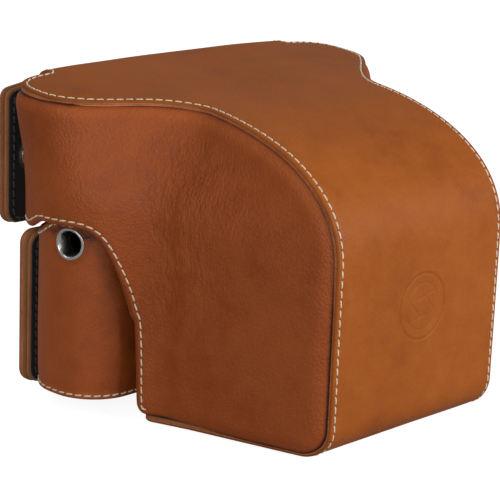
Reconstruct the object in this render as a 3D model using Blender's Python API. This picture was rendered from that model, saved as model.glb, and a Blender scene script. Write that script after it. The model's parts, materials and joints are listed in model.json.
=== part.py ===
"""Leather ever ready case for a rangefinder camera with a large lens.

A rigid half case holds the camera by its base and carries a fold-down display flap.
A deep front cover goes over the camera and the lens, and a flap on its roof closes the back.
Dimensions are in millimetres and are turned into metres when a mesh is made.
+X is the camera's left-right line, -Y the lens side and +Z up.  The shapes are drawn with y = 0
on the camera body's middle plane, and BODY_Y moves them so that the whole case is centred.
"""
import math

import bmesh
import bpy
import numpy as np
from mathutils import Matrix, Vector

MM = 0.001
GAP = 0.3                  # space left between layers that touch
BODY_Y = 27.2              # camera's middle plane, from the centre of the case

# Half case
HALF_W = 71.6              # half width over the rounded ends
HALF_D = 17.0              # half depth
HALF_R = 15.5              # corner radius of the ends in plan
HALF_BOTTOM = 6.4
HALF_TOP = 63.0
REAR_TOP = 57.0            # the wall drops towards its rear wings
WING_X = 50.0              # inner edge of the rear wings
WALL = 2.2
LINING = 0.8
LENS_X = 33.0              # half width of the lens cut-out in the front wall
LENS_LOW = 20.0            # lowest point of the lens cut-out
FLOOR = 2.2
BOARD = 1.4

# Lug eyelets in the ends of the half case
LUG_Z = 55.6
LUG_ANGLE = 21.0           # degrees forward of straight sideways
LUG_R = 5.7

# Cover strip: one piece from the roof over the front and under the nose
STRIP = 2.2
ROOF_REAR_Z = 103.5
ROOF_FRONT = (-30.0, 98.2)  # y, z where the roof starts to curve down
NOSE_Y = -86.5
NOSE_TOP_Z = 59.3          # top of the flat front face
NOSE_CORNER = 10.3
NOSE_W = 38.6              # half width of the front face
STRIP_END_Y = -22.2        # rear end of the strip under the nose
CURL_Y = 24.5
CURL_Z = 96.5
CURL_R = 7.0
END_X = 54.0               # centre of the rounded roof end
END_Y = 8.0
END_RX = 17.8
END_RY = 15.4

# Side panels
PANEL = 2.0
LOW_X = 56.0               # centre of the panel's rounded end, lower down
LOW_RX = 19.6
LOW_RY = 23.0
KNEE = (50.9, -38.8)       # where the nose side meets the body, near the bottom
CUT_REAR_Z = 58.0          # panel's lower edge behind the lug
CUT_TOP_Z = 61.5           # panel's lower edge over the lug
CUT_LOW_Z = 30.0           # top of the straight part of the cut-out's front edge
PANEL_LOW_Z = 2.9          # panel's lower edge beside the nose
SHOULDER_LOW = 68.0        # heights between which the panel leans in to the strip's edge
SHOULDER_HIGH = 101.0

# Rear flaps
BACK_W = 68.0
BACK_Y = 31.5              # outer face
BACK_LOW = 56.0
BACK_HIGH = 99.5
DISPLAY_W = 65.0
DISPLAY_Y = 25.0           # outer face
DISPLAY_LOW = 2.4
DISPLAY_HIGH = 53.0
FLAP_LEATHER = 2.0
FLAP_CORNER = 6.0

# Joint axes, which run along X, as (y, z)
COVER_AXIS = (-21.0, 3.6)
DISPLAY_AXIS = (19.2, 5.0)
BACK_AXIS = (BACK_Y, CURL_Z)

# Snap fasteners
SNAP_R = 5.5
POST_R = 2.1
DISPLAY_SNAP = (56.0, 40.0)
BACK_SNAP = (58.5, 76.0)

# Tripod screw
KNOB_R = 9.5
KNOB_TOP = 4.6
SHAFT_R = 3.1
SHAFT_TOP = 14.6
HOLE_R = 3.7

COLOURS = {
    "smooth_leather": ((0.42, 0.155, 0.045), 0.45, 0.0),
    "pebbled_leather": ((0.36, 0.125, 0.035), 0.55, 0.0),
    "leather_core": ((0.30, 0.15, 0.07), 0.85, 0.0),
    "suede": ((0.012, 0.011, 0.010), 0.95, 0.0),
    "board": ((0.05, 0.04, 0.03), 0.9, 0.0),
    "foam": ((0.10, 0.09, 0.08), 0.95, 0.0),
    "steel": ((0.66, 0.65, 0.63), 0.28, 1.0),
    "brass": ((0.62, 0.45, 0.20), 0.30, 1.0),
}


def clear_scene():
    for item in list(bpy.data.objects):
        bpy.data.objects.remove(item, do_unlink=True)


def material(slot):
    found = bpy.data.materials.get(slot)
    if found:
        return found
    colour, rough, metal = COLOURS[slot]
    made = bpy.data.materials.new(slot)
    made.use_nodes = True
    shader = made.node_tree.nodes["Principled BSDF"]
    shader.inputs["Base Color"].default_value = (*colour, 1.0)
    shader.inputs["Roughness"].default_value = rough
    shader.inputs["Metallic"].default_value = metal
    made.diffuse_color = (*colour, 1.0)
    return made


def add_object(name, points, faces, slot, sharp=40.0):
    """Mesh object from points in millimetres, with its faces turned outwards."""
    mesh = bpy.data.meshes.new(name)
    mesh.from_pydata([tuple(MM * v for v in p) for p in points], [], faces)
    work = bmesh.new()
    work.from_mesh(mesh)
    bmesh.ops.recalc_face_normals(work, faces=work.faces)
    work.to_mesh(mesh)
    work.free()
    mesh.shade_smooth()
    mesh.set_sharp_from_angle(angle=math.radians(sharp))
    mesh.materials.append(material(slot))
    made = bpy.data.objects.new(name, mesh)
    bpy.context.collection.objects.link(made)
    return made


def offset_grid(grid, depth):
    """The grid moved inwards along its own normals by depth (one value, or one per row)."""
    along_u = np.gradient(grid, axis=0)
    along_v = np.gradient(grid, axis=1)
    normal = np.cross(along_u, along_v)
    normal /= np.linalg.norm(normal, axis=2, keepdims=True)
    depth = np.broadcast_to(np.asarray(depth, float), grid.shape[:1])
    return grid - normal * depth[:, None, None]


def layer(name, grid, outer, inner, slot):
    """Closed sheet between two depths below a grid of points."""
    rows, columns = grid.shape[:2]
    points = np.concatenate([offset_grid(grid, outer).reshape(-1, 3),
                             offset_grid(grid, inner).reshape(-1, 3)])
    back = rows * columns
    faces = []
    for i in range(rows - 1):
        for j in range(columns - 1):
            a = i * columns + j
            b = a + columns
            faces.append((a, b, b + 1, a + 1))
            faces.append((back + a, back + a + 1, back + b + 1, back + b))
    rim = [j for j in range(columns)]
    rim += [i * columns + columns - 1 for i in range(1, rows)]
    rim += [(rows - 1) * columns + j for j in range(columns - 2, -1, -1)]
    rim += [i * columns for i in range(rows - 2, 0, -1)]
    for a, b in zip(rim, rim[1:] + rim[:1]):
        faces.append((a, b, back + b, back + a))
    return add_object(name, points.tolist(), faces, slot)


def prism(name, outline, low, high, slot, axis="Z"):
    """Outline (two coordinates) extruded between two values along an axis."""
    count = len(outline)
    if axis == "Z":
        points = [(a, b, low) for a, b in outline] + [(a, b, high) for a, b in outline]
    else:
        points = [(a, low, b) for a, b in outline] + [(a, high, b) for a, b in outline]
    faces = [tuple(range(count)), tuple(range(2 * count - 1, count - 1, -1))]
    for i in range(count):
        j = (i + 1) % count
        faces.append((i, j, count + j, count + i))
    return add_object(name, points, faces, slot)


def turned(name, profile, segments, slot, closed=False):
    """Solid of revolution about Z from (radius, height) points.

    A closed profile makes a ring; an open one starts and ends on the axis."""
    points = []
    for radius, height in profile:
        for k in range(segments):
            turn = 2 * math.pi * k / segments
            points.append((radius * math.cos(turn), radius * math.sin(turn), height))
    faces = []
    last = len(profile) if closed else len(profile) - 1
    for i in range(last):
        lower = i * segments
        upper = ((i + 1) % len(profile)) * segments
        for k in range(segments):
            n = (k + 1) % segments
            faces.append((lower + k, lower + n, upper + n, upper + k))
    if not closed:
        faces.append(tuple(range(segments)))
        top = (len(profile) - 1) * segments
        faces.append(tuple(range(top, top + segments)))
    return add_object(name, points, faces, slot)


def place(item, position, direction=(0, 0, 1)):
    """Put an object's own origin at a position in millimetres, its Z along a direction."""
    turn = Vector((0, 0, 1)).rotation_difference(Vector(direction).normalized())
    item.matrix_world = Matrix.Translation(Vector(position) * MM) @ turn.to_matrix().to_4x4()
    return item


def cut(item, cutter):
    """Boolean difference; the cutter stays as a hidden guide."""
    cutter.hide_render = True
    cutter.display_type = "WIRE"
    boolean = item.modifiers.new("cut_" + cutter.name, "BOOLEAN")
    boolean.operation = "DIFFERENCE"
    boolean.solver = "EXACT"
    boolean.object = cutter


def soften(item, width, segments=2):
    """Rounded edges on a plate."""
    bevel = item.modifiers.new("soft_edge", "BEVEL")
    bevel.width = width * MM
    bevel.segments = segments
    bevel.limit_method = "ANGLE"
    bevel.angle_limit = math.radians(40)


def smooth(value):
    value = min(max(value, 0.0), 1.0)
    return value * value * (3 - 2 * value)


def arc(cx, cy, rx, ry, start, end, steps):
    """Points on an ellipse between two angles in degrees."""
    turns = np.radians(np.linspace(start, end, steps))
    return [(cx + rx * math.cos(t), cy + ry * math.sin(t)) for t in turns]


def mirrored(grid):
    """The same grid on the other side, with its rows reversed so normals stay outwards."""
    return (grid * np.array([-1.0, 1.0, 1.0]))[::-1]


# ---------------------------------------------------------------- cover outline

def bezier(a, b, c, d, steps):
    points = []
    for t in np.linspace(0, 1, steps):
        points.append(tuple((1 - t) ** 3 * a[k] + 3 * (1 - t) ** 2 * t * b[k]
                            + 3 * (1 - t) * t * t * c[k] + t ** 3 * d[k] for k in range(2)))
    return points


def roof_z(y):
    share = (y - ROOF_FRONT[0]) / (CURL_Y - ROOF_FRONT[0])
    return ROOF_FRONT[1] + (ROOF_REAR_Z - ROOF_FRONT[1]) * share


def strip_path():
    """(y, z) points of the strip's outer face, from the roof's rear curl to under the nose."""
    slope = (ROOF_REAR_Z - ROOF_FRONT[1]) / (CURL_Y - ROOF_FRONT[0])
    start = ROOF_FRONT
    front = (NOSE_Y, NOSE_TOP_Z)
    path = arc(CURL_Y, CURL_Z, CURL_R, CURL_R, 0, 90, 5)
    roof = (23.2, 22.0, 19.5, 15.0, 8.0, 0.0, -8.0, -16.0, -24.0)
    path += [(y, roof_z(y)) for y in roof]
    path += bezier(start, (start[0] - 12, start[1] - 12 * slope),
                   (front[0], front[1] + 31), front, 9)
    path += [(NOSE_Y, 35.0)]
    corner = arc(NOSE_Y + NOSE_CORNER, NOSE_CORNER, NOSE_CORNER, NOSE_CORNER, 180, 270, 6)
    path += corner
    path += [(-62.0, 0.0), (-50.0, 0.0), (-38.0, 0.0), (STRIP_END_Y, 0.0)]
    return path


def roof_half_width(y):
    """Half width of the strip along the roof and down the front."""
    if y >= END_Y + END_RY:
        return END_X
    if y > -1.0:
        share = (y - END_Y) / END_RY
        return END_X + END_RX * math.sqrt(max(1 - share * share, 0.0))
    join = roof_half_width(-0.999)
    if y > -34.0:
        t = (y + 34.0) / 33.0
        return NOSE_W + 0.4 + (join - NOSE_W - 0.4) * (2 * t * t - t ** 3)
    return NOSE_W + 0.4 * (y - NOSE_Y) / (-34.0 - NOSE_Y)


def low_half_width(y):
    """Half width of the case near its bottom, from the nose to the body."""
    if y <= KNEE[1]:
        return NOSE_W + (KNEE[0] - NOSE_W) * (y - NOSE_Y) / (KNEE[1] - NOSE_Y)
    return KNEE[0] + (LOW_X - KNEE[0]) * (y - KNEE[1]) / (-LOW_RY - KNEE[1])


def strip_grid(path, inset=0.0):
    """Grid over the strip, row by row along its path and from -X to +X across it."""
    rows = []
    for k, (y, z) in enumerate(path):
        if k < 5:
            half = END_X
        elif z < NOSE_CORNER and y > NOSE_Y + 0.01:
            half = low_half_width(y) - 0.6
        else:
            half = roof_half_width(y)
        drop = 2.0 * smooth((half - 45.0) / 25.0) if z > 80 and k > 4 else 0.0
        half -= inset
        across = np.linspace(-1, 1, 9)
        rows.append([(half * u, y, z - drop * abs(u) ** 3) for u in across])
    return np.array(rows)


# ---------------------------------------------------------------- side panels

def offset_path(path, depth):
    """The strip's path moved inwards, towards the inside of the nose."""
    points = np.array(path)
    along = np.gradient(points, axis=0)
    normal = np.stack([-along[:, 1], along[:, 0]], axis=1)
    normal /= np.linalg.norm(normal, axis=1, keepdims=True)
    return points + normal * depth


def panel_columns():
    """Pairs of plan points (top, low), from the front of the nose round the end to the rear."""
    seam = NOSE_Y + STRIP + GAP
    run = [seam, seam + 0.7, seam + 2.2, seam + 5.0, -75.0, -69.5, -63.0, -55.0, -46.5, -38.0]
    columns = [((roof_half_width(y) - 0.5, y), (low_half_width(y) - 0.5, y)) for y in run]
    turn_top = [(-31.0, -33.0), (-26.0, -29.0), (-20.5, -25.6), (-15.0, -23.6)]
    for top_y, low_y in turn_top:
        low_x = low_half_width(low_y) + 2.2 * smooth((low_y + 33.0) / 10.0)
        columns.append(((roof_half_width(top_y) - 0.5, top_y), (low_x, low_y)))
    sweep_low = np.linspace(-82, 86, 10)
    sweep_top = np.linspace(-52, 84, 10)
    for low_turn, top_turn in zip(np.radians(sweep_low), np.radians(sweep_top)):
        top = (END_X + (END_RX - 0.5) * math.cos(top_turn), END_Y + (END_RY - 0.5) * math.sin(top_turn))
        low = (LOW_X + LOW_RX * math.cos(low_turn), LOW_RY * math.sin(low_turn))
        columns.append((top, low))
    return columns


def cut_out_z(low_point):
    """Height of the panel's lower edge: low beside the nose, then up and over the lug."""
    x, y = low_point
    if x < LOW_X + 2.5 and y < 0:
        return PANEL_LOW_Z
    if y > 6.0:
        return CUT_REAR_Z
    share = min(max((x - LOW_X - 2.5) / 16.0, 0.0), 1.0)
    return CUT_LOW_Z + (CUT_TOP_Z - CUT_LOW_Z) * (1 - (1 - share) ** 2) ** 0.8


def panel_grid():
    """Outer face of the right-hand panel, with the rows round the case and the columns upwards."""
    path = strip_path()
    inner = offset_path(path, STRIP + GAP)
    front = int(np.argmin(inner[:, 0]))
    top_line = inner[5:front + 1][::-1]
    low_line = inner[front + 1:]
    shares = (0.0, 0.03, 0.08, 0.2, 0.4, 0.6, 0.78, 0.89, 0.95, 0.98, 1.0)
    grid = []
    for number, (top, low) in enumerate(panel_columns()):
        top_z = float(np.interp(top[1], top_line[:, 0], top_line[:, 1]))
        if top[1] > -30:
            top_z -= 2.0 * smooth((top[0] - 45.0) / 25.0) + 0.6 * smooth(top[1] / 15.0)
        beside_nose = low[1] < -24.0 and low[0] < LOW_X + 1
        if beside_nose:
            low_z = float(np.interp(low[1], low_line[:, 0], low_line[:, 1]))
            low_z += (PANEL_LOW_Z - STRIP - GAP) * smooth((low[1] + 60) / 36.0)
        else:
            low_z = cut_out_z(low)
        front_share = smooth((top[1] - NOSE_Y - STRIP) / 7.0)
        row = []
        for share in shares:
            z = low_z + (top_z - low_z) * share
            blend = smooth((z - SHOULDER_LOW) / (SHOULDER_HIGH - SHOULDER_LOW))
            x = low[0] + (top[0] - low[0]) * blend
            y = low[1] + (top[1] - low[1]) * blend
            puff = 2.6 * front_share * smooth((top_z - z) / 7.0)
            if beside_nose:
                puff *= smooth((z - low_z) / 7.0)
            if low[1] > -30:
                puff = 2.6 * smooth((top_z - z) / 7.0) * blend
            row.append((x + puff * outward(top, low)[0], y + puff * outward(top, low)[1], z))
        grid.append(row)
    return np.array(grid)


def outward(top, low):
    """Plan direction in which a panel column swells."""
    if low[1] < -24.0 and low[0] < LOW_X + 1:
        return (1.0, 0.0)
    away = Vector((top[0] - END_X + 6.0, top[1] - END_Y)).normalized()
    return (away.x, away.y)


def make_side(side, grid, word):
    """Leather panel, nose padding and suede lining on one side of the cover."""
    padded = np.array([1.0 - smooth((k - 9) / 3.0) for k in range(len(grid))])
    pad_grid = grid[3:10, 2:9]
    lining_depth = PANEL + GAP + 2.0 * padded
    lining_grid = grid[:, 1:-1]
    if side < 0:
        flip = mirrored(grid)
        layer("side_panel_" + word, flip, 0.0, PANEL, "pebbled_leather")
        layer("side_padding_" + word, mirrored(pad_grid), PANEL + GAP, PANEL + GAP + 1.5, "foam")
        layer("side_lining_" + word, mirrored(lining_grid), lining_depth[::-1],
              lining_depth[::-1] + LINING, "suede")
        return
    layer("side_panel_" + word, grid, 0.0, PANEL, "pebbled_leather")
    layer("side_padding_" + word, pad_grid, PANEL + GAP, PANEL + GAP + 1.5, "foam")
    layer("side_lining_" + word, lining_grid, lining_depth, lining_depth + LINING, "suede")


# ---------------------------------------------------------------- half case

def wall_outline():
    """Plan points of the half case's outer face, from one rear wing round the front to the other."""
    side = [(WING_X, HALF_D)]
    side += arc(HALF_W - HALF_R, HALF_D - HALF_R, HALF_R, HALF_R, 90, 0, 6)
    side += arc(HALF_W - HALF_R, -HALF_D + HALF_R, HALF_R, HALF_R, 0, -90, 6)
    front = [(x, -HALF_D) for x in (46.0, 38.0, 34.5, LENS_X, 31.0, 26.0, 18.0, 9.0)]
    half = side + front
    return half + [(0.0, -HALF_D)] + [(-x, y) for x, y in reversed(half)]


def wall_top(x, y):
    """Upper edge of the half case's wall."""
    if y < -HALF_D + 0.01 and abs(x) < 38.1:
        if abs(x) >= LENS_X:
            return HALF_TOP - 9.0 * (1 - smooth((abs(x) - LENS_X) / 5.0))
        centre = LENS_LOW + LENS_X
        return centre - math.sqrt(LENS_X ** 2 - x * x)
    return REAR_TOP + (HALF_TOP - REAR_TOP) * smooth((HALF_D - 5.0 - y) / (HALF_D - 3.0))


def wall_grid(low, trim):
    rows = []
    for x, y in wall_outline():
        top = wall_top(x, y) - trim
        rows.append([(x, y, low + (top - low) * t) for t in np.linspace(0, 1, 5)])
    return np.array(rows)


def floor_outline(inset):
    """Plan of a floor layer: round ends, straight front and rear."""
    radius = HALF_R - inset
    centre = HALF_W - HALF_R
    rear = arc(centre, HALF_D - HALF_R, radius, radius, 0, 90, 6)
    front = arc(centre, -HALF_D + HALF_R, radius, radius, -90, 0, 6)
    right = front + rear
    return right + [(-x, y) for x, y in reversed(right)]


def make_half_case():
    shell = layer("base_shell", wall_grid(HALF_BOTTOM, 0.0)[::-1], 0.0, WALL, "smooth_leather")
    lining = layer("base_lining", wall_grid(HALF_BOTTOM + 5.2, 0.8)[::-1], WALL + GAP,
                   WALL + GAP + LINING, "suede")
    direction = math.radians(LUG_ANGLE)
    for side, word in ((1, "right"), (-1, "left")):
        centre_x = HALF_W - HALF_R + HALF_R * math.cos(direction)
        centre_y = -HALF_D + HALF_R - HALF_R * math.sin(direction)
        outwards = (side * math.cos(direction), -math.sin(direction), 0)
        spot = (side * centre_x, centre_y, LUG_Z)
        for item, radius in ((shell, LUG_R + 0.9), (lining, LUG_R + 1.9)):
            cutter = turned("lug_cutter_" + item.name + word, [(radius, -9), (radius, 4)], 24, "steel")
            place(cutter, spot, outwards)
            cut(item, cutter)
        barrel = [(LUG_R, -5.2), (LUG_R + 1.5, -5.2), (LUG_R + 1.5, -4.7), (LUG_R + 0.6, -4.4),
                  (LUG_R + 0.6, -0.5), (LUG_R, -0.5)]
        place(turned("lug_eyelet_" + word, barrel, 24, "steel", closed=True), spot, outwards)

    floor = prism("base_floor", floor_outline(WALL + GAP), HALF_BOTTOM, HALF_BOTTOM + FLOOR,
                  "smooth_leather")
    board_low = HALF_BOTTOM + FLOOR + GAP
    board = prism("floor_board", floor_outline(WALL + GAP + 0.6), board_low, board_low + BOARD, "board")
    lining_low = board_low + BOARD + GAP
    pad = prism("floor_lining", floor_outline(WALL + LINING + 3 * GAP), lining_low,
                lining_low + LINING, "suede")
    hole = turned("screw_hole_cutter", [(HOLE_R, 2.0), (HOLE_R, 20.0)], 24, "steel")
    for item in (floor, board, pad):
        cut(item, hole)
    plate_high = HALF_BOTTOM - GAP
    ring = [(HOLE_R + 0.2, plate_high - 0.9), (12.0, plate_high - 0.9), (12.0, plate_high),
            (HOLE_R + 0.2, plate_high)]
    turned("screw_plate", ring, 28, "brass", closed=True)

    strap_low = HALF_BOTTOM - GAP - 1.6
    strap = prism("cover_hinge_strap", rounded_box(-36, -20.4, 36, -13.2, 2.0), strap_low,
                  HALF_BOTTOM - GAP, "smooth_leather")
    soften(strap, 0.3, 1)
    rear_strap = prism("display_hinge_strap", rounded_box(-46, 12.0, 46, 16.6, 1.5),
                       HALF_BOTTOM - GAP - 1.4, HALF_BOTTOM - GAP, "smooth_leather")
    soften(rear_strap, 0.3, 1)
    for side, word in ((1, "right"), (-1, "left")):
        post = [(POST_R + 1.6, 0.2), (POST_R + 1.6, 0.7), (POST_R, 0.9), (POST_R + 0.3, 2.2), (POST_R - 0.5, 2.9)]
        spot = (side * DISPLAY_SNAP[0], HALF_D, DISPLAY_SNAP[1])
        place(turned("display_stud_" + word, post, 16, "steel"), spot, (0, 1, 0))


def rounded_box(x0, y0, x1, y1, radius, steps=4):
    points = arc(x1 - radius, y1 - radius, radius, radius, 0, 90, steps)
    points += arc(x0 + radius, y1 - radius, radius, radius, 90, 180, steps)
    points += arc(x0 + radius, y0 + radius, radius, radius, 180, 270, steps)
    points += arc(x1 - radius, y0 + radius, radius, radius, 270, 360, steps)
    return points


# ---------------------------------------------------------------- rear flaps

def back_outline(inset):
    """Back flap: shoulders beside the roof's curl, straight between them, rounded corners."""
    half = BACK_W - inset
    radius = FLAP_CORNER - 0.5 * inset
    low = BACK_LOW + inset
    high = BACK_HIGH - inset
    notch = END_X + GAP + inset
    right = arc(half - radius, low + radius, radius, radius, -90, 0, 5)
    right += arc(half - 4, high - 4, 4, 4, 0, 90, 4)
    right += [(notch, high), (notch, CURL_Z - 2 * GAP)]
    return right + [(-x, z) for x, z in reversed(right)]


def display_outline(inset):
    half = DISPLAY_W - inset
    return rounded_box(-half, DISPLAY_LOW + inset, half, DISPLAY_HIGH - inset, FLAP_CORNER, 5)


def make_flap(prefix, outline, outer_y, board, spots):
    """Leather face, stiff core and suede lining, joined by snap sockets with caps outside."""
    face_in = outer_y - FLAP_LEATHER
    core_in = face_in - GAP - board
    parts = [prism(prefix + "_leather", outline(0.0), face_in, outer_y, "smooth_leather", "Y")]
    soften(parts[0], 0.7)
    parts.append(prism(prefix + "_board", outline(1.5), core_in, face_in - GAP, "board", "Y"))
    parts.append(prism(prefix + "_lining", outline(0.6), core_in - GAP - LINING, core_in - GAP,
                       "suede", "Y"))
    inside = core_in - GAP - LINING
    for side, word in ((1, "right"), (-1, "left")):
        spot = (side * spots[0], 0.0, spots[1])
        bore = turned(prefix + "_bore_" + word, [(3.9, 0.0), (3.9, 60.0)], 16, "steel")
        place(bore, spot, (0, 1, 0))
        for item in parts:
            cut(item, bore)
        cap = [(POST_R + 0.8, inside - 0.1), (3.6, inside - 0.1), (3.6, outer_y + 0.2),
               (SNAP_R, outer_y + 0.25), (SNAP_R - 0.4, outer_y + 0.9), (SNAP_R - 2.5, outer_y + 1.25),
               (0.02, outer_y + 1.3), (0.02, inside + 2.9), (POST_R + 0.8, inside + 2.6)]
        place(turned(prefix + "_snap_" + word, cap, 20, "steel", closed=True), spot, (0, 1, 0))


def make_cover():
    path = strip_path()
    grid = strip_grid(path)
    layer("cover_strip", grid, 0.0, STRIP, "smooth_leather")
    inner = strip_grid(path, 6.0)[8:-1]
    layer("strip_lining", inner, STRIP + GAP, STRIP + GAP + LINING, "suede")
    panel = panel_grid()
    make_side(1, panel, "right")
    make_side(-1, panel, "left")


def make_cover_studs():
    """Posts on the cover's rear wings that the back flap snaps onto."""
    for side, word in ((1, "right"), (-1, "left")):
        post = [(POST_R + 1.6, 0.0), (POST_R + 1.6, 0.5), (POST_R, 0.8), (POST_R + 0.3, 3.9), (POST_R - 0.5, 4.6)]
        spot = (side * BACK_SNAP[0], LOW_RY + 1.2, BACK_SNAP[1])
        place(turned("cover_stud_" + word, post, 16, "steel"), spot, (0, 1, 0))


def make_tripod_screw():
    """Knurled thumb screw, its shaft through the floor, and the ring that keeps it in place."""
    teeth = 36
    outline = []
    for k in range(2 * teeth):
        radius = KNOB_R if k % 2 else KNOB_R - 0.5
        turn = math.pi * k / teeth
        outline.append((radius * math.cos(turn), radius * math.sin(turn)))
    knob = prism("screw_knob", outline, 0.0, KNOB_TOP, "brass")
    slot = prism("coin_slot_cutter", [(-12, -0.8), (12, -0.8), (12, 0.8), (-12, 0.8)], -1.0, 1.3, "steel")
    socket = turned("shaft_socket_cutter", [(SHAFT_R + GAP, 2.4), (SHAFT_R + GAP, 8.0)], 20, "steel")
    cut(knob, slot)
    cut(knob, socket)
    shaft = [(SHAFT_R - 0.4, 2.7), (SHAFT_R, 3.1), (SHAFT_R, SHAFT_TOP - 0.7), (SHAFT_R - 0.7, SHAFT_TOP)]
    turned("screw_shaft", shaft, 20, "brass")
    keep = [(SHAFT_R + 0.2, 12.3), (SHAFT_R + 2.0, 12.3), (SHAFT_R + 2.0, 13.1), (SHAFT_R + 0.2, 13.1)]
    turned("screw_retainer", keep, 20, "steel", closed=True)


def main():
    clear_scene()
    make_half_case()
    make_flap("display_flap", display_outline, DISPLAY_Y, 2.6, DISPLAY_SNAP)
    make_cover()
    make_cover_studs()
    make_flap("back_flap", back_outline, BACK_Y, 1.6, BACK_SNAP)
    make_tripod_screw()
    root = axis_empty("case_origin", (0.0, BODY_Y, 0.0), None)
    cover = axis_empty("cover_axis", (0.0, *COVER_AXIS), root)
    display = axis_empty("display_axis", (0.0, *DISPLAY_AXIS), root)
    back = axis_empty("back_axis", (0.0, BACK_AXIS[0] - COVER_AXIS[0], BACK_AXIS[1] - COVER_AXIS[1]), cover)
    screw = axis_empty("screw_axis", (0.0, 0.0, KNOB_TOP), root)
    moving = (
        (back, (0.0, *BACK_AXIS), ("back_flap",)),
        (display, (0.0, *DISPLAY_AXIS), ("display_flap",)),
        (cover, (0.0, *COVER_AXIS), ("cover_strip", "strip_", "side_", "cover_stud")),
        (screw, (0.0, 0.0, KNOB_TOP), ("screw_knob", "screw_shaft", "screw_retainer")),
    )
    for item in list(bpy.data.objects):
        if item.type != "MESH":
            continue
        empty, centre = root, (0.0, 0.0, 0.0)
        for body, point, prefixes in moving:
            if item.name.startswith(prefixes):
                empty, centre = body, point
        item.parent = empty
        item.matrix_parent_inverse = Matrix.Translation(Vector(centre) * -MM)


def axis_empty(name, point, parent):
    """Empty on a joint's axis; the pieces that turn with the joint are its children."""
    empty = bpy.data.objects.new(name, None)
    empty.location = Vector(point) * MM
    empty.parent = parent
    bpy.context.collection.objects.link(empty)
    return empty


main()
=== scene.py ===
"""Looks for the leather ever ready case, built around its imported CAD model.

Every leather and lining piece is drawn again here as a fine sheet over the same shape as its
CAD solid: rounded raw edges, a pressed groove along each seam, stitches of real thread in the
groove, folds and slight unevenness.  Shapes are in millimetres with y = 0 on the camera body's
middle plane, as in the CAD drawing, and to_world() moves them into the frame's metres.
"""

import json
import math

import bmesh
import bpy
import numpy as np
from mathutils import Matrix, Vector
from mathutils.geometry import delaunay_2d_cdt

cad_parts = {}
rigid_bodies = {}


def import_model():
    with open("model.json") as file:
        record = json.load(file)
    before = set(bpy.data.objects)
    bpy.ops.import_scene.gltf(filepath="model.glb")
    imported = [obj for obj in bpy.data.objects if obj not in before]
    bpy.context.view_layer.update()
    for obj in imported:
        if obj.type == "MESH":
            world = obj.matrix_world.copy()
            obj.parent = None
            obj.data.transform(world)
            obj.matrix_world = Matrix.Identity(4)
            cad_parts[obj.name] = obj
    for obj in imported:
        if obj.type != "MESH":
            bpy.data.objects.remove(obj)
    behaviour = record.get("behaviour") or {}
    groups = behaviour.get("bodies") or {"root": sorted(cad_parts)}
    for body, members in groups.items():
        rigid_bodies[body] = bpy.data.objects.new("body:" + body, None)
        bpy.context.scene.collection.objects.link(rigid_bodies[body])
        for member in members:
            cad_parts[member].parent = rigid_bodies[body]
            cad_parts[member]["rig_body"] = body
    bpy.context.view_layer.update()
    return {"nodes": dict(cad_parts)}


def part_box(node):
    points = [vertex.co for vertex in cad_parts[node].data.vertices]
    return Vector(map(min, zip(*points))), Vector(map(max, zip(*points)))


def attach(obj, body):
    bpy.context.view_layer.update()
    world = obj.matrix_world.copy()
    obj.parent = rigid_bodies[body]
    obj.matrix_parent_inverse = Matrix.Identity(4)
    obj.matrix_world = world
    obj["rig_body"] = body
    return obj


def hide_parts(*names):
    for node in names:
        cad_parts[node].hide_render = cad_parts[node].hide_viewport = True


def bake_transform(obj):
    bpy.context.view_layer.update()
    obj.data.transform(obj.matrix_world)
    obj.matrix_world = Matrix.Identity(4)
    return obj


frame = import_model()

MM = 0.001


def box_mm(node):
    low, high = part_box(node)
    return np.array(low) / MM, np.array(high) / MM


# ---------------------------------------------------------------- sizes from the frame

shell_low, shell_high = box_mm("base_shell")
strip_low, strip_high = box_mm("cover_strip")
back_low, back_high = box_mm("back_flap_leather")
display_low, display_high = box_mm("display_flap_leather")
_, knob_high = box_mm("screw_knob")
_, shaft_high = box_mm("screw_shaft")

BODY_Y = (shell_low[1] + shell_high[1]) / 2
HALF_W = shell_high[0]
HALF_D = shell_high[1] - BODY_Y
HALF_R = 15.5              # plan radius of the rounded ends
HALF_BOTTOM = shell_low[2]
HALF_TOP = shell_high[2]
REAR_TOP = 57.0            # the wall's height at the rear
WING_X = 50.0              # where the rear wings end
WALL = 2.2                 # leather of the half case
LINING = 0.8
GAP = 0.3                  # clearance between layers
UNDERSIDE = HALF_BOTTOM - GAP  # top of the parts fixed under the floor
LENS_X = 33.0              # half width of the lens cut-out
LENS_LOW = 20.0            # its lowest point
FLOOR = 2.2
BOARD = 1.4
LUG_Z = 55.6
LUG_ANGLE = 17.7           # turn of the strap lug round the rounded end
LUG_R = 4.7

STRIP = 2.2                # leather of the cover's strip
ROOF_REAR_Z = strip_high[2]
ROOF_FRONT = (-30.0, 98.2)  # (y, z) where the roof starts to bend down
NOSE_Y = strip_low[1] - BODY_Y
NOSE_TOP_Z = 59.3          # where the front starts to bend back
NOSE_CORNER = 10.3
NOSE_W = 38.6
FLARE_FRONT = -34.0        # y between which the strip widens from the nose to the body
FLARE_REAR = -1.0
STRIP_END_Y = -22.2
CURL_Y = 24.5              # centre of the roof's curl down to the back flap
CURL_Z = 96.5
CURL_R = 7.0
END_X = 54.0               # centre and radii of the roof's rounded ends
END_Y = 8.0
END_RX = 17.8
END_RY = 15.4
END_POWER = 3.0            # squareness of the roof's rear corners
HINGE_DROP = 7.5           # how far the hinge leather reaches down the back flap
HINGE_W = 50.5             # its half width
HINGE_STEP = 1.25          # the hinge lies this far proud of the flap's face

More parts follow.
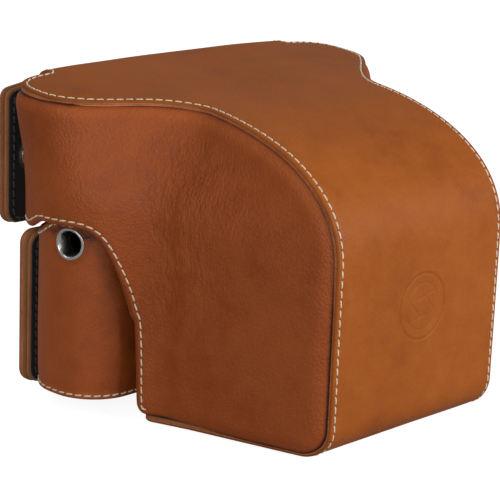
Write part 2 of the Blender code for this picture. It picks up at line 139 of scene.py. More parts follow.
PANEL = 2.0                # leather of a side
LOW_X = 56.0               # centre and radii of a side's lower end
LOW_RX = 19.6
LOW_RY = 23.0
KNEE = (50.9, -38.8)       # (x, y) where a side bends out from the nose to the body
CUT_REAR_Z = 58.0          # heights of a side's free edge over the half case
CUT_TOP_Z = 61.5
CUT_LOW_Z = 30.0
PANEL_LOW_Z = 2.9
SHOULDER_HIGH = 101.0      # the padding's shoulder stays below this
SOFTEN = 10.0              # how far the hollow between nose and body is drawn out
LEAN = 33.0                # height over which a side leans in to the seam above it
RIM = 0.25                 # how far a side's rim stands out past the strip's
TUCK = 1.2                 # how far a side reaches under the strip
PUFF = 1.6                 # how far the padding swells a side

BACK_W = back_high[0]
BACK_Y = back_high[1] - BODY_Y
BACK_LOW = back_low[2]
BACK_HIGH = back_high[2]
DISPLAY_W = display_high[0]
DISPLAY_Y = display_high[1] - BODY_Y
DISPLAY_LOW = display_low[2]
DISPLAY_HIGH = display_high[2]
FLAP_CORNER = 4.6

DISPLAY_SNAP = (56.0, 40.0)  # (x, z) of each flap's fasteners
BACK_SNAP = (58.5, 76.0)
SNAP_R = 5.5
POST_R = 2.1
KNOB_R = knob_high[0]
KNOB_TOP = knob_high[2]
SHAFT_R = shaft_high[0]
SHAFT_TOP = shaft_high[2]
THREAD_PITCH = 1.27        # the tripod screw's
HOLE_R = 3.7               # hole in the floor for the tripod screw

# Leather work
HEM = 1.8                  # a seam's distance from the sheet's edge
GROOVE = 0.22              # depth the thread presses into the leather
PITCH = 2.95               # stitch to stitch
STITCH = 2.62              # one stitch's visible length
THREAD_R = 0.27
PATH_STEP = 0.2            # a path into a sheet is followed in steps this long
PATH_STEPS = 14
CHUNK = 4000               # points measured at a time
EDGE_BANDS = (0.0, 0.06, 0.18, 0.36, 0.6, 0.95, 1.25, 1.5, 1.8, 2.1, 2.4)
MARK_X = 1.1               # centre of the mark pressed into the front
MARK_Z = 41.2
MARK_R = 10.4
MARK_DEPTH = 0.62
SIDES = ((1, "right"), (-1, "left"))
BACKWARDS = (0, 1, 0)      # direction out of the back of the case


# ---------------------------------------------------------------- numbers

def smooth(value):
    value = np.clip(value, 0.0, 1.0)
    return value * value * (3 - 2 * value)


def unit(rows):
    return rows / np.linalg.norm(rows, axis=1, keepdims=True)


def evened(ring):
    """A closed ring of values, each averaged with its neighbours."""
    return (np.roll(ring, 1, axis=0) + 2 * ring + np.roll(ring, -1, axis=0)) / 4


def line_up(x, xs, ys):
    """np.interp that goes on in a straight line past both ends."""
    x = np.asarray(x, float)
    inside = np.interp(x, xs, ys)
    first = (ys[1] - ys[0]) / (xs[1] - xs[0])
    last = (ys[-1] - ys[-2]) / (xs[-1] - xs[-2])
    return inside + np.minimum(x - xs[0], 0) * first + np.maximum(x - xs[-1], 0) * last


def spline(knots, values):
    """Natural cubic spline through values at knots, as a function."""
    knots = np.asarray(knots, float)
    values = np.asarray(values, float)
    step = np.diff(knots)
    slope = np.diff(values) / step
    count = len(knots)
    matrix = np.eye(count)
    right = np.zeros(count)
    for i in range(1, count - 1):
        matrix[i, i - 1:i + 2] = step[i - 1], 2 * (step[i - 1] + step[i]), step[i]
        right[i] = 6 * (slope[i] - slope[i - 1])
    bend = np.linalg.solve(matrix, right)

    def value_at(x):
        x = np.asarray(x, float)
        i = np.clip(np.searchsorted(knots, x) - 1, 0, count - 2)
        a = (knots[i + 1] - x) / step[i]
        b = 1 - a
        inside = (a * values[i] + b * values[i + 1]
                  + ((a ** 3 - a) * bend[i] + (b ** 3 - b) * bend[i + 1]) * step[i] ** 2 / 6)
        straight = a * values[i] + b * values[i + 1]
        return np.where((x < knots[0]) | (x > knots[-1]), straight, inside)
    return value_at


def steady(knots, values):
    """Cubic through values at knots that never overshoots them, as a function."""
    knots = np.asarray(knots, float)
    values = np.asarray(values, float)
    step = np.diff(knots)
    slope = np.diff(values) / step
    tilt = np.zeros(len(knots))
    tilt[0], tilt[-1] = slope[0], slope[-1]
    for i in range(1, len(knots) - 1):
        if slope[i - 1] * slope[i] > 0:
            a, b = 2 * step[i] + step[i - 1], step[i] + 2 * step[i - 1]
            tilt[i] = (a + b) / (a / slope[i - 1] + b / slope[i])

    def value_at(x):
        x = np.asarray(x, float)
        i = np.clip(np.searchsorted(knots, x) - 1, 0, len(knots) - 2)
        t = (x - knots[i]) / step[i]
        h = step[i]
        inside = ((1 + 2 * t) * (1 - t) ** 2 * values[i] + t * (1 - t) ** 2 * h * tilt[i]
                  + t * t * (3 - 2 * t) * values[i + 1] + t * t * (t - 1) * h * tilt[i + 1])
        before = values[0] + (x - knots[0]) * tilt[0]
        after = values[-1] + (x - knots[-1]) * tilt[-1]
        return np.where(x < knots[0], before, np.where(x > knots[-1], after, inside))
    return value_at


def lattice_noise(u, v, seed):
    """Smooth noise between -1 and 1 with one bump per unit."""
    table = np.random.default_rng(seed).uniform(-1, 1, (64, 64))
    iu, iv = np.floor(u).astype(int), np.floor(v).astype(int)
    fu, fv = u - iu, v - iv
    fu = fu ** 3 * (fu * (6 * fu - 15) + 10)
    fv = fv ** 3 * (fv * (6 * fv - 15) + 10)
    a, b = table[iu % 64, iv % 64], table[(iu + 1) % 64, iv % 64]
    c, d = table[iu % 64, (iv + 1) % 64], table[(iu + 1) % 64, (iv + 1) % 64]
    return (a * (1 - fu) + b * fu) * (1 - fv) + (c * (1 - fu) + d * fu) * fv


def uneven(q, size, seed):
    """Slow rise and fall of hand-worked leather."""
    return (lattice_noise(q[:, 0] / size, q[:, 1] / size, seed)
            + 0.4 * lattice_noise(q[:, 0] / size * 2.3 + 7, q[:, 1] / size * 2.3, seed + 1))


def arc(cx, cy, rx, ry, start, end, steps):
    turns = np.radians(np.linspace(start, end, steps))
    return np.stack([cx + rx * np.cos(turns), cy + ry * np.sin(turns)], axis=1)


def along(points, closed=False):
    points = np.asarray(points, float)
    gaps = np.linalg.norm(np.diff(points, axis=0), axis=1)
    if closed:
        gaps = np.append(gaps, np.linalg.norm(points[0] - points[-1]))
    return np.concatenate([[0.0], np.cumsum(gaps)])


def resample(points, spacing, closed=True):
    """Points spread evenly along a polyline."""
    points = np.asarray(points, float)
    keep = np.ones(len(points), bool)
    keep[1:] = np.linalg.norm(np.diff(points, axis=0), axis=1) > 1e-6
    points = points[keep]
    if closed and np.linalg.norm(points[0] - points[-1]) < 1e-6:
        points = points[:-1]
    run = along(points, closed)
    if closed:
        points = np.vstack([points, points[:1]])
    count = max(int(round(run[-1] / spacing)), 8)
    at = np.linspace(0, run[-1], count + 1)[:-1] if closed else np.linspace(0, run[-1], count + 1)
    return np.stack([np.interp(at, run, points[:, k]) for k in range(points.shape[1])], axis=1)


def rounded(corners, steps=9):
    """Closed outline from (u, v, radius) corners, each replaced by an arc."""
    out = []
    count = len(corners)
    for i, (u, v, radius) in enumerate(corners):
        here = np.array([u, v], float)
        if radius <= 0:
            out.append(here)
            continue
        before = np.array(corners[i - 1][:2], float) - here
        after = np.array(corners[(i + 1) % count][:2], float) - here
        before /= np.linalg.norm(before)
        after /= np.linalg.norm(after)
        half = math.acos(float(np.clip(before @ after, -1, 1))) / 2
        if half > math.radians(88):
            out.append(here)
            continue
        reach = radius / math.tan(half)
        middle = before + after
        centre = here + middle / np.linalg.norm(middle) * radius / math.sin(half)
        a, b = here + before * reach, here + after * reach
        start = math.atan2(*(a - centre)[::-1])
        turn = math.atan2(*(b - centre)[::-1]) - start
        turn = (turn + math.pi) % (2 * math.pi) - math.pi
        for t in np.linspace(0, 1, steps):
            angle = start + turn * t
            out.append(centre + radius * np.array([math.cos(angle), math.sin(angle)]))
    return np.array(out)


def signed_area(loop):
    x, y = loop[:, 0], loop[:, 1]
    return 0.5 * float(np.sum(x * np.roll(y, -1) - y * np.roll(x, -1)))


def inside(points, loop):
    """Which points lie inside a closed loop."""
    found = np.zeros(len(points), bool)
    ahead = np.roll(loop, -1, axis=0)
    px, py = points[:, 0], points[:, 1]
    for (ax, ay), (bx, by) in zip(loop, ahead):
        if ay == by:
            continue
        crosses = (py < ay) != (py < by)
        found ^= crosses & (px < (bx - ax) * (py - ay) / (by - ay) + ax)
    return found


def nearest(points, loop):
    """Distance from each point to the loop's nearest vertex."""
    out = np.empty(len(points))
    for i in range(0, len(points), CHUNK):
        gap = points[i:i + CHUNK, None, :] - loop[None, :, :]
        out[i:i + CHUNK] = np.sqrt((gap ** 2).sum(axis=2).min(axis=1))
    return out


def to_world(points):
    return (np.asarray(points, float) + np.array([0.0, BODY_Y, 0.0])) * MM


# ---------------------------------------------------------------- meshes

def make_object(name, points, faces, materials, groups=None, tone=None, body=None, crease=None):
    """Mesh from drawing-frame points.  groups gives each face's material number."""
    mesh = bpy.data.meshes.new(name)
    mesh.from_pydata(to_world(points).tolist(), [], faces)
    for item in materials:
        mesh.materials.append(item)
    if groups is not None:
        mesh.polygons.foreach_set("material_index", np.asarray(groups, np.int32))
    for word, values in (("tone", tone), ("crease", crease)):
        if values is not None:
            layer = mesh.attributes.new(word, "FLOAT", "POINT")
            layer.data.foreach_set("value", np.asarray(values, np.float32))
    mesh.shade_smooth()
    mesh.validate()
    made = bpy.data.objects.new(name, mesh)
    bpy.context.scene.collection.objects.link(made)
    if body:
        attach(made, body)
    return made


def frames(surface, q):
    """Points, outward normals and both partial derivatives of a surface."""
    step = 0.04
    du = (surface(q + [step, 0]) - surface(q - [step, 0])) / (2 * step)
    dv = (surface(q + [0, step]) - surface(q - [0, step])) / (2 * step)
    return surface(q), unit(np.cross(du, dv)), du, dv


def resample_on(surface, loop, spacing):
    """Closed loop of parameters spread evenly along its line on the surface."""
    dense = resample(loop, spacing / 3)
    dense = np.vstack([dense, dense[:1]])
    run = along(surface(dense))
    count = int(round(run[-1] / spacing))
    at = np.linspace(0, run[-1], count + 1)[:-1]
    return np.stack([np.interp(at, run, dense[:, k]) for k in range(2)], axis=1)


def inward_path(surface, loop):
    """Follows the surface straight in from each loop point; gives the ring at any distance."""
    tangent = np.roll(loop, -1, axis=0) - np.roll(loop, 1, axis=0)
    _, normal, du, dv = frames(surface, loop)
    into = np.cross(normal, unit(du * tangent[:, :1] + dv * tangent[:, 1:]))
    for _ in range(3):
        into = evened(into)
    rings = [loop]
    for _ in range(PATH_STEPS):
        _, normal, du, dv = frames(surface, rings[-1])
        into = unit(into - normal * (into * normal).sum(axis=1, keepdims=True))
        guu, guv, gvv = (du * du).sum(1), (du * dv).sum(1), (dv * dv).sum(1)
        bu, bv = (du * into).sum(1), (dv * into).sum(1)
        det = guu * gvv - guv ** 2
        step = np.stack([(gvv * bu - guv * bv) / det, (guu * bv - guv * bu) / det], axis=1)
        rings.append(rings[-1] + step * PATH_STEP)
    rings = np.array(rings)

    def ring_at(distance):
        place = min(max(distance / PATH_STEP, 0.0), PATH_STEPS - 1e-6)
        i = int(place)
        return rings[i] + (rings[i + 1] - rings[i]) * (place - i)
    return ring_at


def fill(loops, spacing, fine=()):
    """Triangles between the loops (the first runs anticlockwise, holes clockwise)."""
    outer = loops[0]
    low, high = outer.min(axis=0), outer.max(axis=0)
    sets = []
    for where, size in [(None, spacing)] + list(fine):
        su, sv = size if isinstance(size, tuple) else (size, size)
        us = np.arange(low[0] + su / 2, high[0], su)
        vs = np.arange(low[1] + sv / 2, high[1], sv)
        grid = np.stack(np.meshgrid(us, vs, indexing="ij"), axis=2)
        grid[1::2, :, 1] += sv / 2
        grid = grid.reshape(-1, 2)
        if where is None:
            for region, _ in fine:
                grid = grid[~region(grid, 0.0)]
        else:
            grid = grid[where(grid, min(su, sv) * 0.5)]
        good = inside(grid, outer)
        for hole in loops[1:]:
            good &= ~inside(grid, hole)
        grid = grid[good]
        scale = np.array([1 / su, 1 / sv])
        for loop in loops:
            grid = grid[nearest(grid * scale, loop * scale) > 0.6]
        sets.append(grid)
    points = np.vstack(list(loops) + sets)
    edges = []
    start = 0
    for loop in loops:
        count = len(loop)
        edges += [(start + i, start + (i + 1) % count) for i in range(count)]
        start += count
    result = delaunay_2d_cdt([Vector(p) for p in points], edges, [], 0, 1e-6, False)
    if len(result[0]) != len(points):
        return None, None
    triangles = np.array(result[2])
    middle = points[triangles].mean(axis=1)
    good = inside(middle, outer)
    for hole in loops[1:]:
        good &= ~inside(middle, hole)
    triangles = triangles[good]
    a, b, c = (points[triangles[:, k]] for k in range(3))
    turned = ((b - a)[:, 0] * (c - a)[:, 1] - (b - a)[:, 1] * (c - a)[:, 0]) < 0
    triangles[turned] = triangles[turned][:, ::-1]
    return points, triangles


def one_side(loops, paths, bands, spacing, fine):
    """Parameters, distances from the edge and faces of one side of a sheet."""
    if not bands:
        raise ValueError("an outline of this sheet crosses itself or a hole")
    inner = [path(bands[-1]) for path in paths]
    points, triangles = fill(inner, spacing, fine)
    if points is None:
        return one_side(loops, paths, bands[:-1], spacing, fine)
    rings, ring_distance, quads = [], [], []
    index = np.empty(len(points), int)  # of the filled middle's points in the whole side
    start, filled = 0, 0
    for loop, path in zip(loops, paths):
        count = len(loop)
        for k, distance in enumerate(bands):
            rings.append(path(distance))
            ring_distance.append(np.full(count, distance))
            a = start + np.arange(count)
            if k:
                b = np.roll(a, -1)
                quads.append(np.stack([a - count, b - count, b, a], axis=1))
            start += count
        index[filled:filled + count] = a
        filled += count
    rest = len(points) - filled
    index[filled:] = start + np.arange(rest)
    q = np.vstack(rings + [points[filled:]])
    distance = np.concatenate(ring_distance + [np.full(rest, 99.0)])
    return q, distance, np.vstack(quads), index[triangles], len(bands)


class Sheet:
    """A leather or lining sheet: what the seams along its edge need to know."""

    def __init__(self, surface, paths, edge, relief):
        self.surface = surface
        self.paths = paths
        self.edge = edge
        self.relief = relief

    def seam(self, distance=HEM, loop=0, keep=None):
        """Points and normals along one loop at a distance from the edge."""
        q = self.paths[loop](distance)
        points, normal, _, _ = frames(self.surface, q)
        lift = np.full(len(q), -rounding(distance, self.edge))
        if self.relief is not None:
            lift += self.relief(q, points) * smooth(distance / 2.0)
        points = points + normal * lift[:, None]
        if keep is None:
            return points, normal, True
        good = keep(q, points)
        first = int(np.argmax(~good))
        order = (np.arange(len(q)) + first) % len(q)
        chosen = order[good[order]]
        return points[chosen], normal[chosen], False


def rounding(distance, radius):
    """How far a rounded edge falls at a distance from the rim."""
    inner = np.clip(radius - distance, 0, None)
    return radius - np.sqrt(np.clip(radius ** 2 - inner ** 2, 0, None))


def make_sheet(name, outline, surface, thick, materials, body, holes=(), spacing=1.15,
               back_spacing=3.0, edge=0.8, back_edge=0.4, seam=None, relief=None, fine=(),
               loop_spacing=0.85, bands=EDGE_BANDS, ply=0.0, tone=None, crease=None, groove=None):
    """Closed sheet below a surface, with rounded edges.

    seam is the stitched groove's distance from the edge, relief(q, points) raises the outer
    face, ply marks the line between two layers along the raw edge (a share of the thickness)."""
    loops = []
    for k, loop in enumerate([outline] + list(holes)):
        loop = resample_on(surface, loop, loop_spacing)
        if (signed_area(loop) > 0) != (k == 0):
            loop = loop[::-1]
        loops.append(loop)
    paths = [inward_path(surface, loop) for loop in loops]
    q, distance, quads, triangles, front_bands = one_side(loops, paths, bands, spacing, fine)
    base, normal, _, _ = frames(surface, q)
    lift = -rounding(distance, edge)
    sewn = np.ones(len(q)) if groove is None else groove(q)
    if seam is not None:
        lift -= GROOVE * np.exp(-((distance - seam) / 0.33) ** 2) * sewn
    if relief is not None:
        lift += relief(q, base) * smooth(distance / 2.0)
    front = base + normal * lift[:, None]
    shade = -0.5 * np.exp(-(distance / 0.8) ** 2)
    if seam is not None:
        shade -= 0.35 * np.exp(-((distance - seam) / 0.4) ** 2) * sewn
    if tone is not None:
        shade += tone(q, base)

    back_bands = (0.0, 0.1, 0.25, back_edge + 0.1, 1.1)
    bq, bdistance, bquads, btriangles, rear_bands = one_side(loops, paths, back_bands, back_spacing, ())
    bbase, bnormal, _, _ = frames(surface, bq)
    thickness = thick if callable(thick) else (lambda q: np.full(len(q), float(thick)))
    depth = thickness(bq) - rounding(bdistance, back_edge)
    back = bbase - bnormal * depth[:, None]

    points = [front, back]
    tones = [shade, np.zeros(len(bq))]
    faces = [quads.tolist(), triangles.tolist(),
             (bquads[:, ::-1] + len(q)).tolist(), (btriangles[:, ::-1] + len(q)).tolist()]
    groups = [np.zeros(len(quads) + len(triangles)), np.full(len(bquads) + len(btriangles), 2)]
    total = len(q) + len(bq)
    front_start, back_start = 0, len(q)
    for loop, path in zip(loops, paths):
        count = len(loop)
        rim_base, rim_normal, _, _ = frames(surface, loop)
        into = unit(surface(path(0.1)) - rim_base)
        rings = [front_start + np.arange(count)]
        for level in (0.2, 0.4, 0.5, 0.6, 0.8):
            down = edge + (thickness(loop) - edge - back_edge) * level
            pinch = ply * math.exp(-((level - 0.5) / 0.08) ** 2)
            ring = rim_base - rim_normal * down[:, None] + into * pinch
            points.append(ring)
            tones.append(np.full(count, -0.6 - 1.2 * (pinch > 0.05)))
            rings.append(total + np.arange(count))
            total += count
        rings.append(back_start + np.arange(count))
        for a, b in zip(rings, rings[1:]):
            faces.append(np.stack([np.roll(a, -1), a, b, np.roll(b, -1)], axis=1).tolist())
            groups.append(np.full(count, 1))
        front_start += count * front_bands
        back_start += count * rear_bands
    made = make_object(name, np.vstack(points), [f for part in faces for f in part], materials,
                       np.concatenate(groups).astype(int), np.concatenate(tones), body,
                       None if crease is None else np.concatenate([crease(q), np.zeros(total - len(q))]))
    return made, Sheet(surface, paths, edge, relief)


def make_stitches(name, seams, body, thread, lift=0.0):
    """Thread stitches along seams of (points, normals, closed), sunk at both ends."""
    around, steps = 8, 9
    u = np.linspace(-1, 1, steps)
    all_points, all_faces = [], []
    total = 0
    for points, normals, closed in seams:
        if closed:
            points = np.vstack([points, points[:1]])
            normals = np.vstack([normals, normals[:1]])
        run = along(points)
        count = max(int(run[-1] // PITCH), 1)
        gap = run[-1] / count
        for k in range(count):
            middle = (k + 0.5) * gap
            at = middle + u * STITCH / 2
            spot, up = (np.stack([np.interp(at, run, rows[:, i]) for i in range(3)], axis=1)
                        for rows in (points, normals))
            up = unit(up)
            side = np.cross(up, unit(np.gradient(spot, axis=0)))
            spot = spot + side * (0.11 * u)[:, None]
            height = -GROOVE + lift + THREAD_R * (0.75 - 2.0 * np.abs(u) ** 7)
            spot = spot + up * height[:, None]
            size = THREAD_R * (1.0 - 0.35 * np.abs(u) ** 4)
            for i in range(steps):
                turn = np.arange(around) * 2 * math.pi / around
                twist = 1 + 0.10 * np.cos(2 * turn + 5.0 * u[i])
                ring = (spot[i] + side[i] * (np.cos(turn) * size[i] * twist)[:, None]
                        + up[i] * (np.sin(turn) * size[i] * twist * 0.85)[:, None])
                all_points.append(ring)
            for i in range(steps - 1):
                for j in range(around):
                    a = total + i * around + j
                    b = total + i * around + (j + 1) % around
                    all_faces.append((a, b, b + around, a + around))
            all_faces.append(tuple(total + j for j in range(around))[::-1])
            all_faces.append(tuple(total + (steps - 1) * around + j for j in range(around)))
            total += steps * around
    made = make_object(name, np.vstack(all_points), all_faces, [thread], body=body)


def band_faces(rows, count, closed):
    """Quads between neighbouring rings of count points."""
    faces = []
    for i in range(rows if closed else rows - 1):
        low, high = i * count, ((i + 1) % rows) * count
        for k in range(count):
            n = (k + 1) % count
            faces.append((low + k, low + n, high + n, high + k))
    return faces


def lathe(name, profile, segments, item, body, spot=(0, 0, 0), direction=(0, 0, 1), closed=False,
          shape=None):
    """Turned piece from (radius, height) points; shape(radius, height, turns) may vary the radius."""
    profile = np.asarray(profile, float)
    turns = np.arange(segments) * 2 * math.pi / segments
    radius = np.repeat(profile[:, :1], segments, axis=1)
    height = np.repeat(profile[:, 1:], segments, axis=1)
    if shape is not None:
        radius, height = shape(radius, height, turns[None, :])
    points = np.stack([radius * np.cos(turns), radius * np.sin(turns), height], axis=2)
    turn = np.array(Vector((0, 0, 1)).rotation_difference(Vector(direction).normalized()).to_matrix())
    points = points.reshape(-1, 3) @ turn.T + np.asarray(spot, float)
    rows = len(profile)
    faces = band_faces(rows, segments, closed)
    if not closed:
        faces.append(tuple(range(segments))[::-1])
        top = (rows - 1) * segments
        faces.append(tuple(range(top, top + segments)))
    made = make_object(name, points, faces, [item])
    mesh = made.data
    centre = np.array([v.co for v in mesh.vertices]).mean(axis=0)
    volume = 0.0
    for face in mesh.polygons:
        a = np.array(mesh.vertices[face.vertices[0]].co) - centre
        for i in range(1, len(face.vertices) - 1):
            b = np.array(mesh.vertices[face.vertices[i]].co) - centre
            c = np.array(mesh.vertices[face.vertices[i + 1]].co) - centre
            volume += a @ np.cross(b, c)
    if volume < 0:
        mesh.flip_normals()
    mesh.set_sharp_from_angle(angle=math.radians(50))
    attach(made, body)
    return made


def sweep_ring(name, centre_line, normals, profile, item):
    """Ring of constant section along a closed line; profile is (outwards, up) from the line."""
    count = len(centre_line)
    forward = np.roll(centre_line, -1, axis=0) - np.roll(centre_line, 1, axis=0)
    side = np.cross(unit(forward), normals)
    middle = centre_line.mean(axis=0)
    if ((centre_line - middle) * side).sum() < 0:
        side = -side
    rings = [centre_line + side * a + normals * b for a, b in profile]
    made = make_object(name, np.vstack(rings), band_faces(len(rings), count, True), [item])
    work = bmesh.new()
    work.from_mesh(made.data)
    bmesh.ops.recalc_face_normals(work, faces=work.faces)
    work.to_mesh(made.data)
    work.free()
    return made


# ---------------------------------------------------------------- materials

def new_material(name):
    made = bpy.data.materials.new(name)
    made.use_nodes = True
    tree = made.node_tree
    shader = tree.nodes["Principled BSDF"]
    place = tree.nodes.new("ShaderNodeTexCoord").outputs["Object"]
    return made, tree, shader, place


def noise_node(tree, place, scale, detail=4.0, rough=0.55, stretch=None):
    if stretch:
        mapping = tree.nodes.new("ShaderNodeMapping")
        mapping.inputs["Scale"].default_value = stretch
        tree.links.new(place, mapping.inputs["Vector"])
        place = mapping.outputs["Vector"]
    node = tree.nodes.new("ShaderNodeTexNoise")
    node.inputs["Scale"].default_value = scale
    node.inputs["Detail"].default_value = detail
    node.inputs["Roughness"].default_value = rough
    tree.links.new(place, node.inputs["Vector"])
    return node.outputs["Fac"]


def cells_node(tree, place, scale):
    node = tree.nodes.new("ShaderNodeTexVoronoi")
    node.inputs["Scale"].default_value = scale
    tree.links.new(place, node.inputs["Vector"])
    return node.outputs["Distance"]


def attribute_node(tree, name):
    node = tree.nodes.new("ShaderNodeAttribute")
    node.attribute_name = name
    return node.outputs["Fac"]


def math_node(tree, kind, a, b):
    node = tree.nodes.new("ShaderNodeMath")
    node.operation = kind
    for socket, value in zip(node.inputs, (a, b)):
        if isinstance(value, (int, float)):
            socket.default_value = value
        else:
            tree.links.new(value, socket)
    return node.outputs[0]


def ramp_node(tree, value, stops):
    node = tree.nodes.new("ShaderNodeValToRGB")
    ramp = node.color_ramp
    while len(ramp.elements) < len(stops):
        ramp.elements.new(0.5)
    for element, (at, colour) in zip(ramp.elements, stops):
        element.position = at
        element.color = (*colour, 1.0)
    tree.links.new(value, node.inputs["Fac"])
    return node.outputs["Color"]


def remap(tree, value, low, high, to_low, to_high):
    node = tree.nodes.new("ShaderNodeMapRange")
    for name, number in (("From Min", low), ("From Max", high), ("To Min", to_low), ("To Max", to_high)):
        node.inputs[name].default_value = number
    tree.links.new(value, node.inputs["Value"])
    return node.outputs["Result"]


def bump_node(tree, height, strength, distance, below=None):
    node = tree.nodes.new("ShaderNodeBump")
    node.inputs["Strength"].default_value = strength
    node.inputs["Distance"].default_value = distance
    tree.links.new(height, node.inputs["Height"])
    if below is not None:
        tree.links.new(below, node.inputs["Normal"])
    return node.outputs["Normal"]


def leather(name, dark, middle, light, grain, grain_depth, rough, creased=False, gloss=0.24):
    """Aniline leather: mottled colour, fine cellular grain, darker where tone is negative, lighter where it
    is positive; tone carries painted shade and painted highlights.

    Scales of textures are in cycles per metre, bump depths in metres."""
    made, tree, shader, place = new_material(name)
    broad = noise_node(tree, place, 22.0, 3.0, 0.5)
    patches = noise_node(tree, place, 130.0, 5.0, 0.6)
    fine = noise_node(tree, place, 1100.0, 3.0, 0.6)
    pores = cells_node(tree, place, grain)
    value = math_node(tree, "MULTIPLY", broad, 0.45)
    for part, share in ((patches, 0.40), (fine, 0.15), (pores, -0.05), (attribute_node(tree, "tone"), 0.22)):
        value = math_node(tree, "ADD", value, math_node(tree, "MULTIPLY", part, share))
    # The darkest stop is painted shade: only strongly negative tone, from painted grooves and painted shadow,
    # reaches it.
    painted_shade_colour = tuple(0.3 * part for part in dark)
    colour = ramp_node(tree, value, ((0.0, painted_shade_colour), (0.10, dark), (0.44, middle), (0.72, light)))
    tree.links.new(colour, shader.inputs["Base Color"])
    tree.links.new(remap(tree, patches, 0.3, 0.7, rough - 0.05, rough + 0.07), shader.inputs["Roughness"])
    shader.inputs["Specular IOR Level"].default_value = gloss
    cell_bump = bump_node(tree, remap(tree, pores, 0.0, 0.7, 1.0, 0.0), 0.7, grain_depth)
    soft_bump = bump_node(tree, patches, 0.35, 0.00022, cell_bump)
    if creased:
        wrinkle = noise_node(tree, place, 1150.0, 2.0, 0.5, stretch=(1.0, 1.0, 0.24))
        wrinkle = remap(tree, wrinkle, 0.36, 0.60, 0.0, 1.0)
        wrinkle = math_node(tree, "MULTIPLY", wrinkle, attribute_node(tree, "crease"))
        soft_bump = bump_node(tree, wrinkle, 0.8, 0.00022, soft_bump)
    tree.links.new(bump_node(tree, fine, 0.35, 0.00005, soft_bump), shader.inputs["Normal"])
    return made


def raw_edge(name, dark, light):
    """Burnished cut edge: fibres along the sheet, slightly waxed."""
    made, tree, shader, place = new_material(name)
    fibre = noise_node(tree, place, 900.0, 5.0, 0.65)
    broad = noise_node(tree, place, 90.0, 3.0, 0.5)
    value = math_node(tree, "MULTIPLY", fibre, 0.5)
    for part, share in ((broad, 0.5), (attribute_node(tree, "tone"), 0.12)):
        value = math_node(tree, "ADD", value, math_node(tree, "MULTIPLY", part, share))
    tree.links.new(ramp_node(tree, value, ((0.2, dark), (0.6, light))), shader.inputs["Base Color"])
    shader.inputs["Roughness"].default_value = 0.42
    shader.inputs["Specular IOR Level"].default_value = 0.5
    tree.links.new(bump_node(tree, fibre, 0.5, 0.0001), shader.inputs["Normal"])
    return made


def suede(name, dark, light):
    """Napped lining: soft mottling, short fibres, strong sheen."""
    made, tree, shader, place = new_material(name)
    nap = noise_node(tree, place, 2200.0, 4.0, 0.7)
    strokes = noise_node(tree, place, 60.0, 4.0, 0.6, stretch=(1.0, 1.0, 0.4))
    value = math_node(tree, "ADD", math_node(tree, "MULTIPLY", nap, 0.45),
                      math_node(tree, "MULTIPLY", strokes, 0.55))
    tree.links.new(ramp_node(tree, value, ((0.3, dark), (0.7, light))), shader.inputs["Base Color"])
    tree.links.new(remap(tree, strokes, 0.3, 0.7, 0.85, 1.0), shader.inputs["Roughness"])
    shader.inputs["Specular IOR Level"].default_value = 0.15
    shader.inputs["Sheen Weight"].default_value = 0.25
    shader.inputs["Sheen Roughness"].default_value = 0.4
    soft = bump_node(tree, strokes, 0.3, 0.0004)
    tree.links.new(bump_node(tree, nap, 0.7, 0.00015, soft), shader.inputs["Normal"])
    return made


def thread(name, dark, light):
    """Twisted linen thread."""
    made, tree, shader, place = new_material(name)
    fibre = noise_node(tree, place, 1800.0, 4.0, 0.6)
    tree.links.new(ramp_node(tree, fibre, ((0.3, dark), (0.65, light))), shader.inputs["Base Color"])
    shader.inputs["Roughness"].default_value = 0.62
    shader.inputs["Sheen Weight"].default_value = 0.2
    tree.links.new(bump_node(tree, fibre, 0.6, 0.00008), shader.inputs["Normal"])
    return made


def metal(name, dark, light, rough):
    """Plated metal with fine turning marks and a little tarnish."""
    made, tree, shader, place = new_material(name)
    tarnish = noise_node(tree, place, 160.0, 5.0, 0.6)
    lines = noise_node(tree, place, 2600.0, 3.0, 0.7)
    tree.links.new(ramp_node(tree, tarnish, ((0.3, dark), (0.65, light))), shader.inputs["Base Color"])
    shader.inputs["Metallic"].default_value = 1.0
    tree.links.new(remap(tree, tarnish, 0.3, 0.7, rough + 0.12, rough - 0.04), shader.inputs["Roughness"])
    tree.links.new(bump_node(tree, lines, 0.25, 0.00002), shader.inputs["Normal"])
    return made


def fibre_board(name, dark, light):
    """Pressed board with flecks."""
    made, tree, shader, place = new_material(name)
    flecks = noise_node(tree, place, 700.0, 6.0, 0.7, stretch=(0.4, 1.0, 1.0))
    tree.links.new(ramp_node(tree, flecks, ((0.3, dark), (0.7, light))), shader.inputs["Base Color"])
    shader.inputs["Roughness"].default_value = 0.9
    tree.links.new(bump_node(tree, flecks, 0.5, 0.0002), shader.inputs["Normal"])
    return made


smooth_leather = leather("smooth_cowhide", (0.160, 0.034, 0.006), (0.330, 0.082, 0.010),
                         (0.410, 0.114, 0.018), grain=1500.0, grain_depth=0.00009, rough=0.46, gloss=0.15)
case_leather = leather("case_cowhide", (0.150, 0.030, 0.006), (0.335, 0.070, 0.011),
                       (0.415, 0.100, 0.019), grain=1500.0, grain_depth=0.00009, rough=0.42, gloss=0.30)
soft_leather = leather("grained_cowhide", (0.140, 0.027, 0.006), (0.310, 0.064, 0.010),
                       (0.385, 0.090, 0.016), grain=1150.0, grain_depth=0.0002, rough=0.50, creased=True)
cut_edge = raw_edge("burnished_edge", (0.20, 0.050, 0.014), (0.56, 0.190, 0.062))
flesh_side = leather("flesh_side", (0.110, 0.040, 0.016), (0.260, 0.105, 0.040),
                     (0.350, 0.160, 0.070), grain=2400.0, grain_depth=0.00012, rough=0.85)
black_suede = suede("black_suede", (0.006, 0.006, 0.006), (0.022, 0.021, 0.020))
pale_thread = thread("pale_thread", (0.55, 0.40, 0.25), (0.86, 0.72, 0.52))
dark_thread = thread("dark_thread", (0.012, 0.011, 0.010), (0.040, 0.037, 0.035))
nickel = metal("nickel", (0.52, 0.50, 0.47), (0.78, 0.77, 0.74), 0.24)
